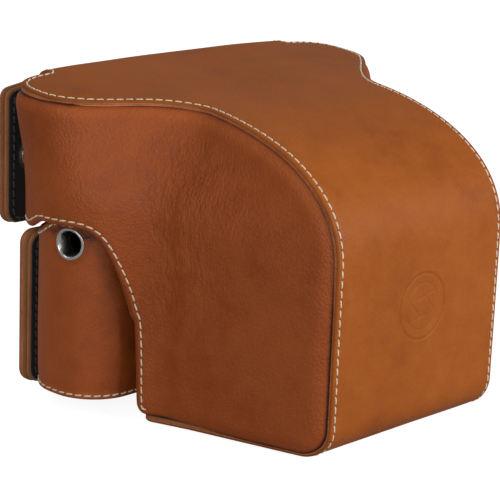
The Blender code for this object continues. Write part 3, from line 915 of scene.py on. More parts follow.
brass = metal("aged_brass", (0.34, 0.22, 0.09), (0.62, 0.44, 0.20), 0.30)
board = fibre_board("fibre_board", (0.030, 0.024, 0.018), (0.085, 0.068, 0.050))
foam = suede("grey_foam", (0.08, 0.075, 0.07), (0.14, 0.13, 0.12))
# a sheet's face, cut edge and back
LEATHER = [smooth_leather, cut_edge, flesh_side]
SOFT = [soft_leather, cut_edge, flesh_side]
CASE = [case_leather, cut_edge, flesh_side]
SUEDE = [black_suede] * 3
FOAM = [foam] * 3


# ---------------------------------------------------------------- the cover's shape

def end_point(turn, inset=0.0):
    """(x, y) on the rounded end of the roof at a turn in radians; its rear corner is squarer."""
    power = np.where(turn > 0, 2.0 / END_POWER, 1.0)
    c, s = np.cos(turn), np.sin(turn)
    return (END_X + (END_RX - inset) * np.abs(c) ** power,
            END_Y + (END_RY - inset) * np.sign(s) * np.abs(s) ** power)


def roof_half_width(y):
    """Half width of the strip along the roof and down the front."""
    y = np.asarray(y, float)
    share = np.clip((y - END_Y) / END_RY, -1, 1)
    power = np.where(share > 0, END_POWER, 2.0)
    rounded_end = END_X + END_RX * np.clip(1 - np.abs(share) ** power, 0, None) ** (1 / power)
    share = (FLARE_REAR - END_Y) / END_RY
    join = END_X + END_RX * math.sqrt(1 - share * share)
    t = (y - FLARE_FRONT) / (FLARE_REAR - FLARE_FRONT)
    flare = NOSE_W + 0.4 + (join - NOSE_W - 0.4) * (2 * t * t - t ** 3)
    nose = NOSE_W + 0.4 * (y - NOSE_Y) / (FLARE_FRONT - NOSE_Y)
    return np.where(y > FLARE_REAR, rounded_end, np.where(y > FLARE_FRONT, flare, nose))


def low_half_width(y):
    """Half width of the case near its bottom, from the nose to the body."""
    y = np.asarray(y, float)
    nose = NOSE_W + (KNEE[0] - NOSE_W) * (y - NOSE_Y) / (KNEE[1] - NOSE_Y)
    body = KNEE[0] + (LOW_X - KNEE[0]) * (y - KNEE[1]) / (-LOW_RY - KNEE[1])
    return np.where(y <= KNEE[1], nose, body)


def strip_line():
    """Dense (y, z) line of the strip's outer face, from the hinge at the rear to under the nose."""
    slope = (ROOF_REAR_Z - ROOF_FRONT[1]) / (CURL_Y - ROOF_FRONT[0])
    roof = np.array(ROOF_FRONT)
    front = np.array([NOSE_Y, NOSE_TOP_Z])
    t = np.linspace(0, 1, 200)[:, None]
    curve = ((1 - t) ** 3 * roof + 3 * (1 - t) ** 2 * t * (roof + [-12.0, -12.0 * slope])
             + 3 * (1 - t) * t * t * (front + [0.0, 31.0]) + t ** 3 * front)
    hinge = np.array([[CURL_Y + CURL_R, CURL_Z - HINGE_DROP - 4.0], [CURL_Y + CURL_R, CURL_Z - 0.05]])
    parts = [hinge, arc(CURL_Y, CURL_Z, CURL_R, CURL_R, 0, 90, 60), curve,
             arc(NOSE_Y + NOSE_CORNER, NOSE_CORNER, NOSE_CORNER, NOSE_CORNER, 180, 270, 60),
             np.array([[STRIP_END_Y + 1.0, 0.0]])]
    return resample(np.vstack(parts), 0.25, closed=False)


LINE = strip_line()
LINE_P = along(LINE)
AXIS_P = float(np.interp(CURL_Z, LINE[:60, 1], LINE_P[:60]))
LINE_P = LINE_P - AXIS_P   # 0 at the hinge's axis, growing towards the front


def line_p(y, z):
    """Distance along the strip of the line's point nearest (y, z)."""
    return LINE_P[np.argmin((LINE[:, 0] - y) ** 2 + (LINE[:, 1] - z) ** 2)]


CURL_P = math.pi / 2 * CURL_R  # where the curl meets the roof
FRONT_P = line_p(NOSE_Y, NOSE_CORNER)
END_P = line_p(STRIP_END_Y, 0.0)
WIDE = float(roof_half_width(END_Y))


def strip_half(p):
    """Half width of the strip at a distance along it."""
    y = line_up(p, LINE_P, LINE[:, 0])
    z = line_up(p, LINE_P, LINE[:, 1])
    half = roof_half_width(y) - 0.6 * smooth((NOSE_CORNER - z) / NOSE_CORNER) * (p > FRONT_P)
    return np.where(p > FRONT_P, half + low_half_width(y) - low_half_width(NOSE_Y)
                    - (roof_half_width(y) - NOSE_W), half)


def strip_surface(q):
    p, x = q[:, 0], q[:, 1]
    y = line_up(p, LINE_P, LINE[:, 0])
    z = line_up(p, LINE_P, LINE[:, 1])
    out = HINGE_STEP * smooth((2.0 - p) / 5.0)
    wide = np.where(y > END_Y, WIDE, roof_half_width(np.minimum(y, END_Y)))
    drop = 2.0 * smooth((wide - 45.0) / 25.0) * np.abs(x / wide) ** 3
    drop = drop * smooth(p / CURL_P) * (z > 70)
    return np.stack([x, y + out, z - drop], axis=1)


def strip_outline():
    """Closed (p, x) outline of the strip."""
    right = [(-HINGE_DROP, 0.0)]
    right += list(rounded([(-HINGE_DROP, 0, 0), (-HINGE_DROP, HINGE_W, 5.0), (0.0, HINGE_W + 1.5, 0),
                           (0.0, 0.0, 0)], 12)[1:-2])
    right += [(2.0, 52.6), (6.0, END_X - 0.4), (CURL_P - 2.0, END_X)]
    end_p = CURL_P + (CURL_Y - (END_Y + END_RY))
    right += arc(end_p - 1.5, END_X + 1.5, 1.5, 1.5, 270, 360, 8).tolist()
    for t in np.linspace(84, math.degrees(math.asin((FLARE_REAR - END_Y) / END_RY)), 50):
        x, y = end_point(math.radians(t))
        right.append((line_p_roof(y), float(x)))
    ps = np.arange(line_p_roof(FLARE_REAR) + 1.0, END_P - 4.0, 1.0)
    right += np.stack([ps, strip_half(ps)], axis=1).tolist()
    before, half = strip_half(np.array([END_P - 8, END_P]))
    tail = rounded([(END_P - 8, before, 0), (END_P, half, 3.4), (END_P, 0, 0), (END_P - 8, 0, 0)], 10)
    right += [tuple(t) for t in tail[1:-1]]
    right = np.array(right)
    return np.vstack([right, (right * [1, -1])[::-1]])


def line_p_roof(y):
    """Distance along the strip on the straight roof."""
    roof = (LINE_P > CURL_P - 0.3) & (LINE[:, 0] > ROOF_FRONT[0] - 20) & (LINE[:, 1] > 70)
    return float(np.interp(-y, -LINE[roof, 0], LINE_P[roof]))


def mark_height(x, z):
    """Generic mark: a ring with six straight blades that leave a small hexagon open."""
    dx, dz = x - MARK_X, z - MARK_Z
    far = np.hypot(dx, dz)
    height = np.zeros(len(far))
    for radius, width, rise in ((MARK_R, 0.34, -0.34), (MARK_R - 0.9, 0.5, 0.10), (MARK_R + 0.9, 0.5, 0.10),
                                (7.4, 0.26, -0.30)):
        height += rise * np.exp(-((far - radius) / width) ** 2)
    inner = 2.9
    for k in range(6):
        turn = math.radians(60 * k + 12)
        along_blade = dx * math.cos(turn) + dz * math.sin(turn)
        across = -dx * math.sin(turn) + dz * math.cos(turn) - inner
        on = smooth((along_blade + inner * 0.577 + 0.2) / 0.5) * smooth((7.35 - far) / 0.4)
        height -= 0.28 * np.exp(-(across / 0.26) ** 2) * on
    return MARK_DEPTH * height


def strip_relief(q, points):
    lift = 0.16 * uneven(q, 34.0, 5)
    front = (points[:, 1] < NOSE_Y + 3.0)
    lift += np.where(front, mark_height(points[:, 0], points[:, 2]), 0.0)
    return lift * smooth((q[:, 0] + 4.0) / 4.0)


# Painted shade: darker in the ring pressed into the mark on the front.
def strip_painted_shade(q, points):
    dx, dz = points[:, 0] - MARK_X, points[:, 2] - MARK_Z
    far = np.hypot(dx, dz)
    front = points[:, 1] < NOSE_Y + 3.0
    return np.where(front, -0.35 * np.exp(-((far - MARK_R) / 0.4) ** 2), 0.0)


def near_mark(grid, margin):
    """Where the strip's mesh is fine."""
    p = line_p(NOSE_Y, MARK_Z)
    return np.hypot(grid[:, 0] - p, grid[:, 1] - MARK_X) < MARK_R + 2.0 - margin


# ---------------------------------------------------------------- side panels

def panel_columns():
    """Pairs of plan points (top, low), from the front of the nose round the end to the rear."""
    seam = NOSE_Y + STRIP - TUCK
    run = [seam, seam + 0.7, seam + 2.2, seam + 5.0, -75.0, -69.5, -63.0, -55.0, -46.5, -38.0]
    columns = [((roof_half_width(y) + RIM, y), (low_half_width(y) + RIM, y)) for y in run]
    for top_y, low_y in [(-31.0, -33.0), (-26.0, -29.0), (-20.5, -25.6), (-15.0, -23.6)]:
        low_x = low_half_width(low_y) + 2.2 * smooth((low_y + 33.0) / 10.0)
        columns.append(((roof_half_width(top_y) + RIM, top_y), (low_x, low_y)))
    sweep_low = np.radians(np.linspace(-82, 86, 17))
    sweep_top = np.radians(np.linspace(-52, 84, 17))
    for low_turn, top_turn in zip(sweep_low, sweep_top):
        low = (LOW_X + LOW_RX * math.cos(low_turn), LOW_RY * math.sin(low_turn))
        columns.append((end_point(top_turn, -RIM * math.cos(max(top_turn, 0.0))), low))
    return np.array([[(float(a), float(b)) for a, b in pair] for pair in columns])


COLUMNS = panel_columns()
COLUMN_A = along((COLUMNS[:, 0] + COLUMNS[:, 1]) / 2)
TOP_X, TOP_Y = (spline(COLUMN_A, COLUMNS[:, 0, k]) for k in range(2))
LOW_XS, LOW_YS = (steady(COLUMN_A, COLUMNS[:, 1, k]) for k in range(2))


def softened(line):
    """The line with its hollow between the nose and the body drawn out, as stiff leather spans it."""
    at = np.linspace(-40.0, COLUMN_A[-1] + 40.0, 900)
    share = np.exp(-((at[:, None] - at[None, :]) / SOFTEN) ** 2 / 2)
    values = (share * line(at)[None, :]).sum(axis=1) / share.sum(axis=1)
    return lambda a: np.interp(a, at, values)


SOFT_TOP_X, SOFT_TOP_Y = softened(TOP_X), softened(TOP_Y)
SOFT_LOW_X, SOFT_LOW_Y = softened(LOW_XS), softened(LOW_YS)


def line_normal(line):
    run = np.gradient(line, axis=0)
    return unit(np.stack([-run[:, 1], run[:, 0]], axis=1))


def offset_line(depth):
    """The strip's line moved into the case."""
    line = LINE[LINE_P > CURL_P - 3.0]
    return line + line_normal(line) * depth


INNER = offset_line(STRIP - TUCK)
TURN_I = int(np.argmin(np.abs(INNER[:, 1] - NOSE_TOP_Z) + 100 * (INNER[:, 0] > -80)))
TOP_LINE = INNER[:TURN_I + 1][::-1]
EDGE_LINE = INNER[INNER[:, 0] < -20.0][::3]


def seam_gap(y, z):
    """Signed distance of side points (y, z) from the strip's inner line, positive inside."""
    normal = line_normal(EDGE_LINE)
    points = np.stack([y, z], axis=1)
    out = np.empty(len(points))
    for i in range(0, len(points), CHUNK):
        gap = points[i:i + CHUNK, None, :] - EDGE_LINE[None, :, :]
        near = np.argmin((gap ** 2).sum(axis=2), axis=1)
        out[i:i + CHUNK] = (gap[np.arange(len(near)), near] * normal[near]).sum(axis=1)
    return out


def panel_top_z(a):
    """Height of a side's upper edge."""
    x, y = TOP_X(a), TOP_Y(a)
    z = line_up(y, TOP_LINE[:, 0], TOP_LINE[:, 1])
    return z - np.where(y > FLARE_FRONT, 2.0 * smooth((x - 45.0) / 25.0) + 0.6 * smooth(y / 15.0), 0.0)


def swell(distance):
    """Profile of the padded shoulder: quick at the seam, flat after it."""
    return 1 - np.clip(1 - (distance - TUCK + 0.3) / 5.5, 0, 1.0) ** 3.0


def panel_surface(q):
    """A side's outer face at (a, z): a runs along its plan from the nose to the rear."""
    a, z = q[:, 0], q[:, 1]
    top_x, top_y, low_x, low_y = TOP_X(a), TOP_Y(a), LOW_XS(a), LOW_YS(a)
    top_z = panel_top_z(a)
    blend = smooth((z - np.minimum(SHOULDER_HIGH, top_z + 1.0) + LEAN) / LEAN)
    x = low_x + (top_x - low_x) * blend
    y = low_y + (top_y - low_y) * blend
    soft_x = SOFT_LOW_X(a) + (SOFT_TOP_X(a) - SOFT_LOW_X(a)) * blend
    soft_y = SOFT_LOW_Y(a) + (SOFT_TOP_Y(a) - SOFT_LOW_Y(a)) * blend
    hollow = (np.exp(-((a - A_CURVE + 2.0) / 25.0) ** 2) * smooth((z - 34.0) / 28.0)
              * smooth((top_z - z) / 11.0))
    x = x + (soft_x - x) * hollow
    y = y + (soft_y - y) * hollow
    body = smooth((low_y + 38.0) / 12.0)
    nose = swell(seam_gap(y, z))
    shoulder = swell(top_z - z) * smooth((A_END - 2.0 - a) / 14.0)
    puff = PUFF * ((1 - body) * nose + body * shoulder * blend)
    away_x = top_x - END_X + 6.0
    away_y = top_y - END_Y
    size = np.hypot(away_x, away_y)
    side = smooth((low_y + 30.0) / 8.0)
    out_x = (1 - side) + side * away_x / size
    out_y = side * away_y / size
    return np.stack([x + puff * out_x, y + puff * out_y, z], axis=1)


A_CUT = float(COLUMN_A[13])    # where the cut-out over the half case's end starts
A_CURVE = float(COLUMN_A[14])  # where the panel starts to turn round the end
A_END = float(COLUMN_A[-1])


def cut_out_height(a):
    """The panel's lower edge over the half case's end, from the cut-out's front to the rear."""
    x, y = LOW_XS(a), LOW_YS(a)
    share = np.clip((x - LOW_X - 2.5) / 16.0, 0, 1)
    share = np.where(y > 0, 1.0, share)
    arch = CUT_LOW_Z + (CUT_TOP_Z - CUT_LOW_Z) * np.clip(1 - (1 - share) ** 2, 0, 1) ** 0.8
    return arch - (CUT_TOP_Z - CUT_REAR_Z) * smooth((y - 2.0) / 10.0)


def a_at_y(y):
    return np.interp(y, COLUMNS[:10, 0, 1], COLUMN_A[:10])


def panel_outline():
    """Closed (a, z) outline of a side panel."""
    tops = np.linspace(A_END, COLUMN_A[5], 140)
    top = np.stack([tops, panel_top_z(tops)], axis=1)
    y_start = float(TOP_Y(np.array([COLUMN_A[5]]))[0])
    front = INNER[(INNER[:, 0] < y_start - 0.3) & (np.arange(len(INNER)) > 10)]
    front = np.stack([a_at_y(front[:, 0]), front[:, 1]], axis=1)
    dense = np.linspace(COLUMN_A[5], A_CUT, 400)
    run = along(np.stack([LOW_XS(dense), LOW_YS(dense)], axis=1))
    lows = np.interp(np.linspace(0, run[-1] - 3.2, 60), run, dense)
    low_y = LOW_YS(lows)
    low_z = STRIP - TUCK + (PANEL_LOW_Z - STRIP + TUCK) * smooth((low_y + 60) / 36.0)
    low = np.stack([lows, low_z], axis=1)
    corner = arc(run[-1] - 3.2, PANEL_LOW_Z + 3.2, 3.2, 3.2, -85, 0, 10)
    corner[:, 0] = np.interp(corner[:, 0], run, dense)
    cut_a = np.linspace(A_CURVE, A_END, 120)
    cut = np.stack([cut_a, cut_out_height(cut_a)], axis=1)
    cut = cut[cut[:, 1] > CUT_LOW_Z + 4.0]
    rear = rounded([(A_END - 9, CUT_REAR_Z, 0), (A_END, CUT_REAR_Z, 5.0),
                    (A_END, float(panel_top_z(np.array([A_END]))[0]), 6.0),
                    (A_END - 9, float(panel_top_z(np.array([A_END - 9.0]))[0]), 0)], 9)[1:-1]
    cut = cut[cut[:, 0] < A_END - 5.5]
    top = top[top[:, 0] < A_END - 6.6]
    return np.vstack([top, front, low, corner, cut, rear])


# ---------------------------------------------------------------- the half case's shape

def wall_plan():
    """Plan line of the half case's outer face, from the right rear wing round the front to the left."""
    side = [(WING_X, HALF_D)]
    side += arc(HALF_W - HALF_R, HALF_D - HALF_R, HALF_R, HALF_R, 90, 0, 60).tolist()
    side += arc(HALF_W - HALF_R, -HALF_D + HALF_R, HALF_R, HALF_R, 0, -90, 60).tolist()
    line = np.array(side + [(-x, y) for x, y in reversed(side)])
    return resample(line, 0.3, closed=False)


PLAN = wall_plan()
PLAN_S = along(PLAN)
PLAN_END = float(PLAN_S[-1])


def wall_side(q):
    """The wall's outer face; its first parameter runs against PLAN, so the normal points outwards."""
    s = PLAN_END - q[:, 0]
    return np.stack([line_up(s, PLAN_S, PLAN[:, 0]), line_up(s, PLAN_S, PLAN[:, 1]), q[:, 1]], axis=1)


def wall_top_at(s):
    y = line_up(s, PLAN_S, PLAN[:, 1])
    return REAR_TOP + (HALF_TOP - REAR_TOP) * smooth((HALF_D - 5.0 - y) / (HALF_D - 3.0))


FRONT_MID = PLAN_END / 2


def wall_loop(low, trim):
    """Closed (s, z) outline of the wall with the lens cut-out in its front."""
    s = np.arange(5.0, FRONT_MID - 43.0, 1.0)
    top = list(zip(s, wall_top_at(s) - trim))
    shoulder = rounded([(FRONT_MID - 43, HALF_TOP - trim, 0), (FRONT_MID - 34.8, HALF_TOP - trim, 4.6),
                        (FRONT_MID - LENS_X, LENS_LOW + LENS_X + 1.0 - trim, 0), (FRONT_MID - 43, 0, 0)])
    bowl = [(FRONT_MID - LENS_X * math.cos(t), LENS_LOW + LENS_X - trim - LENS_X * math.sin(t))
            for t in np.radians(np.linspace(0, 90, 36))]
    rear = rounded([(6, low, 0), (0, low, 2.6), (0, REAR_TOP - trim, 4.5), (6, REAR_TOP - trim, 0)], 9)
    half = np.vstack([[(4.0, low)], rear[1:-1], top, shoulder[:-2], bowl])
    other = (half * [-1, 1] + [PLAN_END, 0])[::-1]
    return np.vstack([half, other[1:]])


def lug_s(side):
    turn = math.radians(LUG_ANGLE)
    x = HALF_W - HALF_R + HALF_R * math.cos(turn)
    y = -HALF_D + HALF_R - HALF_R * math.sin(turn)
    s = float(PLAN_S[np.argmin((PLAN[:, 0] - x) ** 2 + (PLAN[:, 1] - y) ** 2)])
    return s if side > 0 else PLAN_END - s


def lug_loop(side, radius):
    return arc(lug_s(side), LUG_Z, radius, radius, 0, 360, 49)[:-1]


def floor_loop(inset):
    radius = HALF_R - inset
    centre = HALF_W - HALF_R
    right = np.vstack([arc(centre, -HALF_D + HALF_R, radius, radius, -90, 0, 20),
                       arc(centre, HALF_D - HALF_R, radius, radius, 0, 90, 20)])
    return np.vstack([right, (right * [-1, 1])[::-1]])


def flat(axis, level):
    """Flat surface: 'up' and 'down' lie at z = level, 'rear' faces +Y at y = level."""
    def surface(q):
        height = np.full(len(q), level)
        if axis == "rear":
            return np.stack([-q[:, 0], height, q[:, 1]], axis=1)
        return np.stack([q[:, 0] if axis == "up" else -q[:, 0], q[:, 1], height], axis=1)
    return surface


def keep_piece(made, body, slot, *nodes):
    """The piece moves with a body and stands for these CAD nodes."""
    if "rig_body" not in made:
        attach(made, body)
    if nodes:
        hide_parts(*nodes)


# ---------------------------------------------------------------- cover

def strip_thick(q):
    return 1.2 + (STRIP - 1.2) * smooth((q[:, 0] - 0.5) / 6.0)


def make_cover():
    """The strip, its lining and the stitches along it."""
    strip, sheet = make_sheet("cover_strip_leather", strip_outline(), strip_surface, strip_thick,
                              LEATHER, None, seam=HEM, relief=strip_relief, tone=strip_painted_shade,
                              fine=[(near_mark, 0.3)], ply=0.12, spacing=1.3)
    sewn = [sheet.seam(keep=lambda q, p: q[:, 0] > 6.0)]
    hinge = [sheet.seam(keep=lambda q, p: q[:, 0] < -1.8)]
    make_stitches("cover_strip_stitches", sewn, "front_cover", pale_thread)
    make_stitches("hinge_stitches", hinge, "back_flap", pale_thread)
    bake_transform(strip)
    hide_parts("cover_strip")

    p0, p1 = line_p_roof(15.0), line_p(-38.0, 0.0)
    ps = np.arange(p0 + 6, p1 - 6, 1.5)
    side = np.stack([ps, strip_half(ps) - 6.0], axis=1)
    first, last = side[0, 1], side[-1, 1] - 1
    head = rounded([(p0 + 9, first, 0), (p0, first, 5.0), (p0, 0, 0), (p0 + 9, 0, 0)])[1:-2][::-1]
    foot = rounded([(p1 - 9, last, 0), (p1, last, 5.0), (p1, 0, 0), (p1 - 9, 0, 0)])[1:-2]
    right = np.vstack([head, side, foot])
    loop = np.vstack([right, (right * [1, -1])[::-1]])

    def under(q):
        points, normal, _, _ = frames(strip_surface, q)
        return points - normal * (STRIP + GAP)
    lining, _ = make_sheet("roof_lining", loop, under, LINING, SUEDE, "front_cover", spacing=2.5,
                           back_spacing=2.5, edge=0.3, back_edge=0.3, bands=(0, 0.08, 0.3, 1.0))
    keep_piece(lining, "front_cover", "suede", "strip_lining")


def folds(q, seed):
    """Fine upright folds where the side bends round from the body to the nose."""
    a, z = np.abs(q[:, 0]), q[:, 1]
    knee = float(COLUMN_A[9])
    top = panel_top_z(a)
    mask = np.exp(-((a - knee - 2.0) / 17.0) ** 2) * smooth((z - 18.0) / 30.0) * smooth((top - z - 3.0) / 9.0)
    sway = 1.3 * lattice_noise(a / 9.0, z / 13.0, seed)
    one = lattice_noise(a / 1.05 + sway, z / 5.0, seed + 1)
    two = lattice_noise(a / 1.9 - sway, z / 8.0 + 5, seed + 2)
    lift = -0.17 * (1 - np.abs(one)) ** 3 - 0.15 * (1 - np.abs(two)) ** 4
    slant = lattice_noise((a + 0.8 * z) / 5.0, (z - 0.8 * a) / 26.0, seed + 3)
    low = np.exp(-((a - knee + 1.0) / 15.0) ** 2) * np.exp(-((z - 42.0) / 20.0) ** 2)
    return lift * mask - 0.18 * low * (1 - np.abs(slant)) ** 6, mask


def panel_relief(seed):
    """A side's folds and unevenness."""
    def relief(q, points):
        lift, _ = folds(q, seed)
        return lift + 0.30 * uneven(q, 26.0, seed + 20)
    return relief


def panel_shade_and_highlight(seed):
    """Painted shade in the folds and in the groove beside the seam, and a painted highlight on the padded
    shoulder.
    """
    def tone(q, points):
        lift, _ = folds(q, seed)
        gap = panel_top_z(np.abs(q[:, 0])) - q[:, 1]
        gap = np.minimum(gap, seam_gap(points[:, 1], points[:, 2]))
        # shoulder is the painted highlight's band; the fold and groove terms paint shade.
        shoulder = smooth((q[:, 1] - 46.0) / 14.0) * np.exp(-((gap - 2.6) / 1.15) ** 2)
        return 1.7 * lift - 2.8 * np.exp(-(np.clip(gap, 0, None) / 0.75) ** 2) + 0.75 * shoulder
    return tone


def near_fold(grid, margin):
    """Where a side's mesh is fine."""
    a = np.abs(grid[:, 0])
    return (np.abs(a - COLUMN_A[9] - 2.0) < 28 - margin) & (grid[:, 1] > 14 + margin)


def mirrored(q):
    """The left side's outer face, at negative a."""
    return panel_surface(q * [-1, 1]) * [-1, 1, 1]


def free_edge(q, points):
    """Where a side ends in the open, over the half case."""
    a, z = np.abs(q[:, 0]), q[:, 1]
    return (a > A_CUT - 8.0) & (z < panel_top_z(a) - 6.0)


def make_side(side, word, seed):
    """A side panel (1 right, -1 left) with its padding, lining and stitches."""
    outline = panel_outline() * [side, 1]
    surface = panel_surface if side > 0 else mirrored
    panel, sheet = make_sheet("side_panel_leather_" + word, outline, surface, PANEL, SOFT, None,
                              relief=panel_relief(seed), tone=panel_shade_and_highlight(seed), spacing=1.25,
                              fine=[(near_fold, (0.45, 1.3))], edge=1.3, ply=0.1,
                              crease=lambda q: folds(q, seed)[1], seam=HEM,
                              groove=lambda q: free_edge(q, None).astype(float))
    keep_piece(panel, "front_cover", "pebbled_leather", "side_panel_" + word)
    make_stitches("side_stitches_" + word, [sheet.seam(keep=free_edge)], "front_cover", pale_thread)

    # The lining stops short of the edge, except low at the cut-out's front, where it fills the gap and its
    # black stands in for the shade there
    loop = sheet.paths[0](1.6)[::2]
    a, z = np.abs(loop[:, 0]), loop[:, 1]
    behind = smooth((a - A_CUT + 4.0) / 2.5) * smooth((A_CURVE + 5.0 - a) / 4.0) * smooth((43.0 - z) / 24.0)
    loop[:, 0] += side * 3.0 * behind * smooth((z - 4.0) / 3.0)
    for _ in range(6):
        loop = evened(loop)
    knee = float(COLUMN_A[9])

    def beneath(q):
        points, normal, _, _ = frames(surface, q)
        return points - normal * (PANEL + 0.1)
    a = np.linspace(a_at_y(-76.0), knee - 2.0, 40)
    top = np.stack([a, panel_top_z(a) - 9.0], axis=1)[::-1]
    pad = np.vstack([top, [(a[0], 8.0), (a[-1], 8.0)]])
    foam_pad, _ = make_sheet("side_padding_foam_" + word, pad * [side, 1], beneath, 1.8, FOAM, None,
                             spacing=2.5, back_spacing=2.5, edge=0.8, back_edge=0.6,
                             bands=(0, 0.15, 0.4, 0.8, 1.4), loop_spacing=1.2)
    keep_piece(foam_pad, "front_cover", "foam", "side_padding_" + word)

    def within(q):
        points, normal, _, _ = frames(surface, q)
        a = np.abs(q[:, 0])
        depth = PANEL + GAP + 2.0 * (1 - smooth((a - knee) / 14.0))
        return points - normal * depth[:, None]
    lining, _ = make_sheet("side_lining_cloth_" + word, loop, within, LINING, SUEDE, None, spacing=2.0,
                           back_spacing=2.0, edge=0.3, back_edge=0.3, bands=(0, 0.08, 0.3, 1.0),
                           loop_spacing=1.2)
    keep_piece(lining, "front_cover", "suede", "side_lining_" + word)


# ---------------------------------------------------------------- half case

def lug_ring(q):
    """1 on the ring that each eyelet presses into the wall."""
    s = PLAN_END - q[:, 0]
    return sum(np.exp(-((np.hypot(s - lug_s(side), q[:, 1] - LUG_Z) - LUG_R - 1.3) / 0.5) ** 2)
               for side in (1, -1))


def wall_relief(q, points):
    tuck = np.exp(-((q[:, 1] - HALF_BOTTOM) / 3.0) ** 2)
    return 0.20 * uneven(q, 30.0, 41) - 0.22 * lug_ring(q) - 0.5 * tuck


def wall_painted_shade(q, points):
    """Painted shade in the ring pressed round each eyelet, and a painted shadow darkening towards the part
    that the cover's sides overhang.
    """
    edge = panel_outline()
    line = panel_surface(edge[free_edge(edge, None)])
    line = line[np.argsort(line[:, 2])]
    # How far the painted shadow reaches behind the cover's free edge, further low down.
    z = np.maximum(points[:, 2], CUT_LOW_Z + 4.0)
    reach = np.interp(z, (34.0, 56.0), (11.0, 8.5))
    cover_shadow = np.interp(z, line[:, 2], line[:, 1]) + reach - points[:, 1]
    return -0.5 * lug_ring(q) - 1.5 * smooth(cover_shadow / 9.0)


def make_half_case():
    flip = np.array([-1, 1])
    shift = np.array([PLAN_END, 0])

    def turned(loop):
        return loop * flip + shift
    wall, sheet = make_sheet("half_case_leather", turned(wall_loop(HALF_BOTTOM, 0.0)), wall_side, WALL, CASE,
                             None, holes=[turned(lug_loop(side, LUG_R)) for side in (1, -1)],
                             relief=wall_relief, tone=wall_painted_shade, ply=0.1, spacing=1.4)
    keep_piece(wall, "half_case", "smooth_leather", "base_shell")
    upper = sheet.seam(keep=lambda q, p: (q[:, 1] > HALF_BOTTOM + 4.0))
    lower = sheet.seam(1.25, keep=lambda q, p: (q[:, 1] < HALF_BOTTOM + 2.5))
    make_stitches("half_case_stitches", [upper, lower], "half_case", pale_thread, lift=0.12)

    def within(q):
        points, normal, _, _ = frames(wall_side, q)
        return points - normal * (WALL + GAP)
    lining, _ = make_sheet("half_case_lining", turned(wall_loop(HALF_BOTTOM + 5.2, 0.5)), within, LINING,
                           SUEDE, None, holes=[turned(lug_loop(side, LUG_R + 0.1)) for side in (1, -1)],
                           spacing=2.4, back_spacing=2.4, edge=0.3, back_edge=0.3,
                           bands=(0, 0.08, 0.3, 1.0), loop_spacing=1.2)
    keep_piece(lining, "half_case", "suede", "base_lining")

    hole = arc(0, 0, HOLE_R, HOLE_R, 0, 360, 49)[:-1]
    sole, _ = make_sheet("half_case_sole", floor_loop(WALL + GAP), flat("down", HALF_BOTTOM), FLOOR,
                         LEATHER, None, holes=[hole], spacing=1.8, edge=0.5,
                         relief=lambda q, p: 0.12 * uneven(q, 28.0, 51))
    keep_piece(sole, "half_case", "smooth_leather", "base_floor")
    floor_top = HALF_BOTTOM + FLOOR + GAP + BOARD + GAP + LINING
    pad, _ = make_sheet("half_case_floor_cloth", floor_loop(WALL + LINING + 3 * GAP), flat("up", floor_top),
                        LINING, SUEDE, None, holes=[hole], spacing=2.2, edge=0.3, back_edge=0.3,
                        bands=(0, 0.08, 0.3, 1.0))
    keep_piece(pad, "half_case", "suede", "floor_lining")

    for side, word in SIDES:
        points, normals, _, _ = frames(wall_side, turned(lug_loop(side, LUG_R)))
        lip = [(0.30, -0.35), (0.34, 0.02), (0.22, 0.20), (-0.02, 0.28), (-0.30, 0.22), (-0.55, -0.02),
               (-0.72, -0.45), (-0.74, -2.4), (-0.72, -4.6), (-0.55, -4.95), (-0.30, -4.8), (-0.25, -4.2),
               (-0.22, -0.6), (-0.05, -0.45)]
        eyelet = sweep_ring("lug_eyelet_ring_" + word, points, normals, lip, nickel)
        keep_piece(eyelet, "half_case", "steel", "lug_eyelet_" + word)


def hinge_tab(name, half, y0, y1, radius, thick, node, seam):
    """Stitched leather strap under the half case that a flap swings on."""
    loop = rounded([(-half, y0, radius), (half, y0, radius), (half, y1, radius), (-half, y1, radius)])
    made, sheet = make_sheet(name, loop * [-1, 1], flat("down", UNDERSIDE - thick), thick, LEATHER, None,
                             spacing=1.5, edge=0.5, back_edge=0.2, bands=(0, 0.08, 0.2, 0.4, 0.7, 1.1, 1.4))
    keep_piece(made, "half_case", "smooth_leather", node)
    make_stitches(name + "_stitches", [sheet.seam(seam)], "half_case", pale_thread, lift=0.2)


# ---------------------------------------------------------------- rear flaps

def flap_corners(kind, inset):
    """Half outline of a flap as (x, z, radius) corners, from the bottom middle upwards."""
    if kind == "back":
        notch = END_X + GAP + inset
        return [(BACK_W - inset, BACK_LOW - 2.0 + inset, FLAP_CORNER - 0.4 * inset),
                (BACK_W - inset, BACK_HIGH - 2.2 - inset, 3.4), (notch, BACK_HIGH - inset, 3.0),
                (notch, CURL_Z - 2 * GAP, 0.8)]
    return [(DISPLAY_W - inset, DISPLAY_LOW + inset, FLAP_CORNER),
            (DISPLAY_W - inset, DISPLAY_HIGH - inset, FLAP_CORNER)]


def flap_loop(kind, inset):
    right = flap_corners(kind, inset)
    return rounded(right + [(-x, z, r) for x, z, r in reversed(right)], 12)


def flap_layer(name, kind, inset, face, thick, materials, body, **options):
    """One layer of a flap with its outer face at y = face, looking to the rear."""
    loop = flap_loop(kind, inset) * [-1, 1]
    return make_sheet(name, loop, flat("rear", face), thick, materials, body, **options)


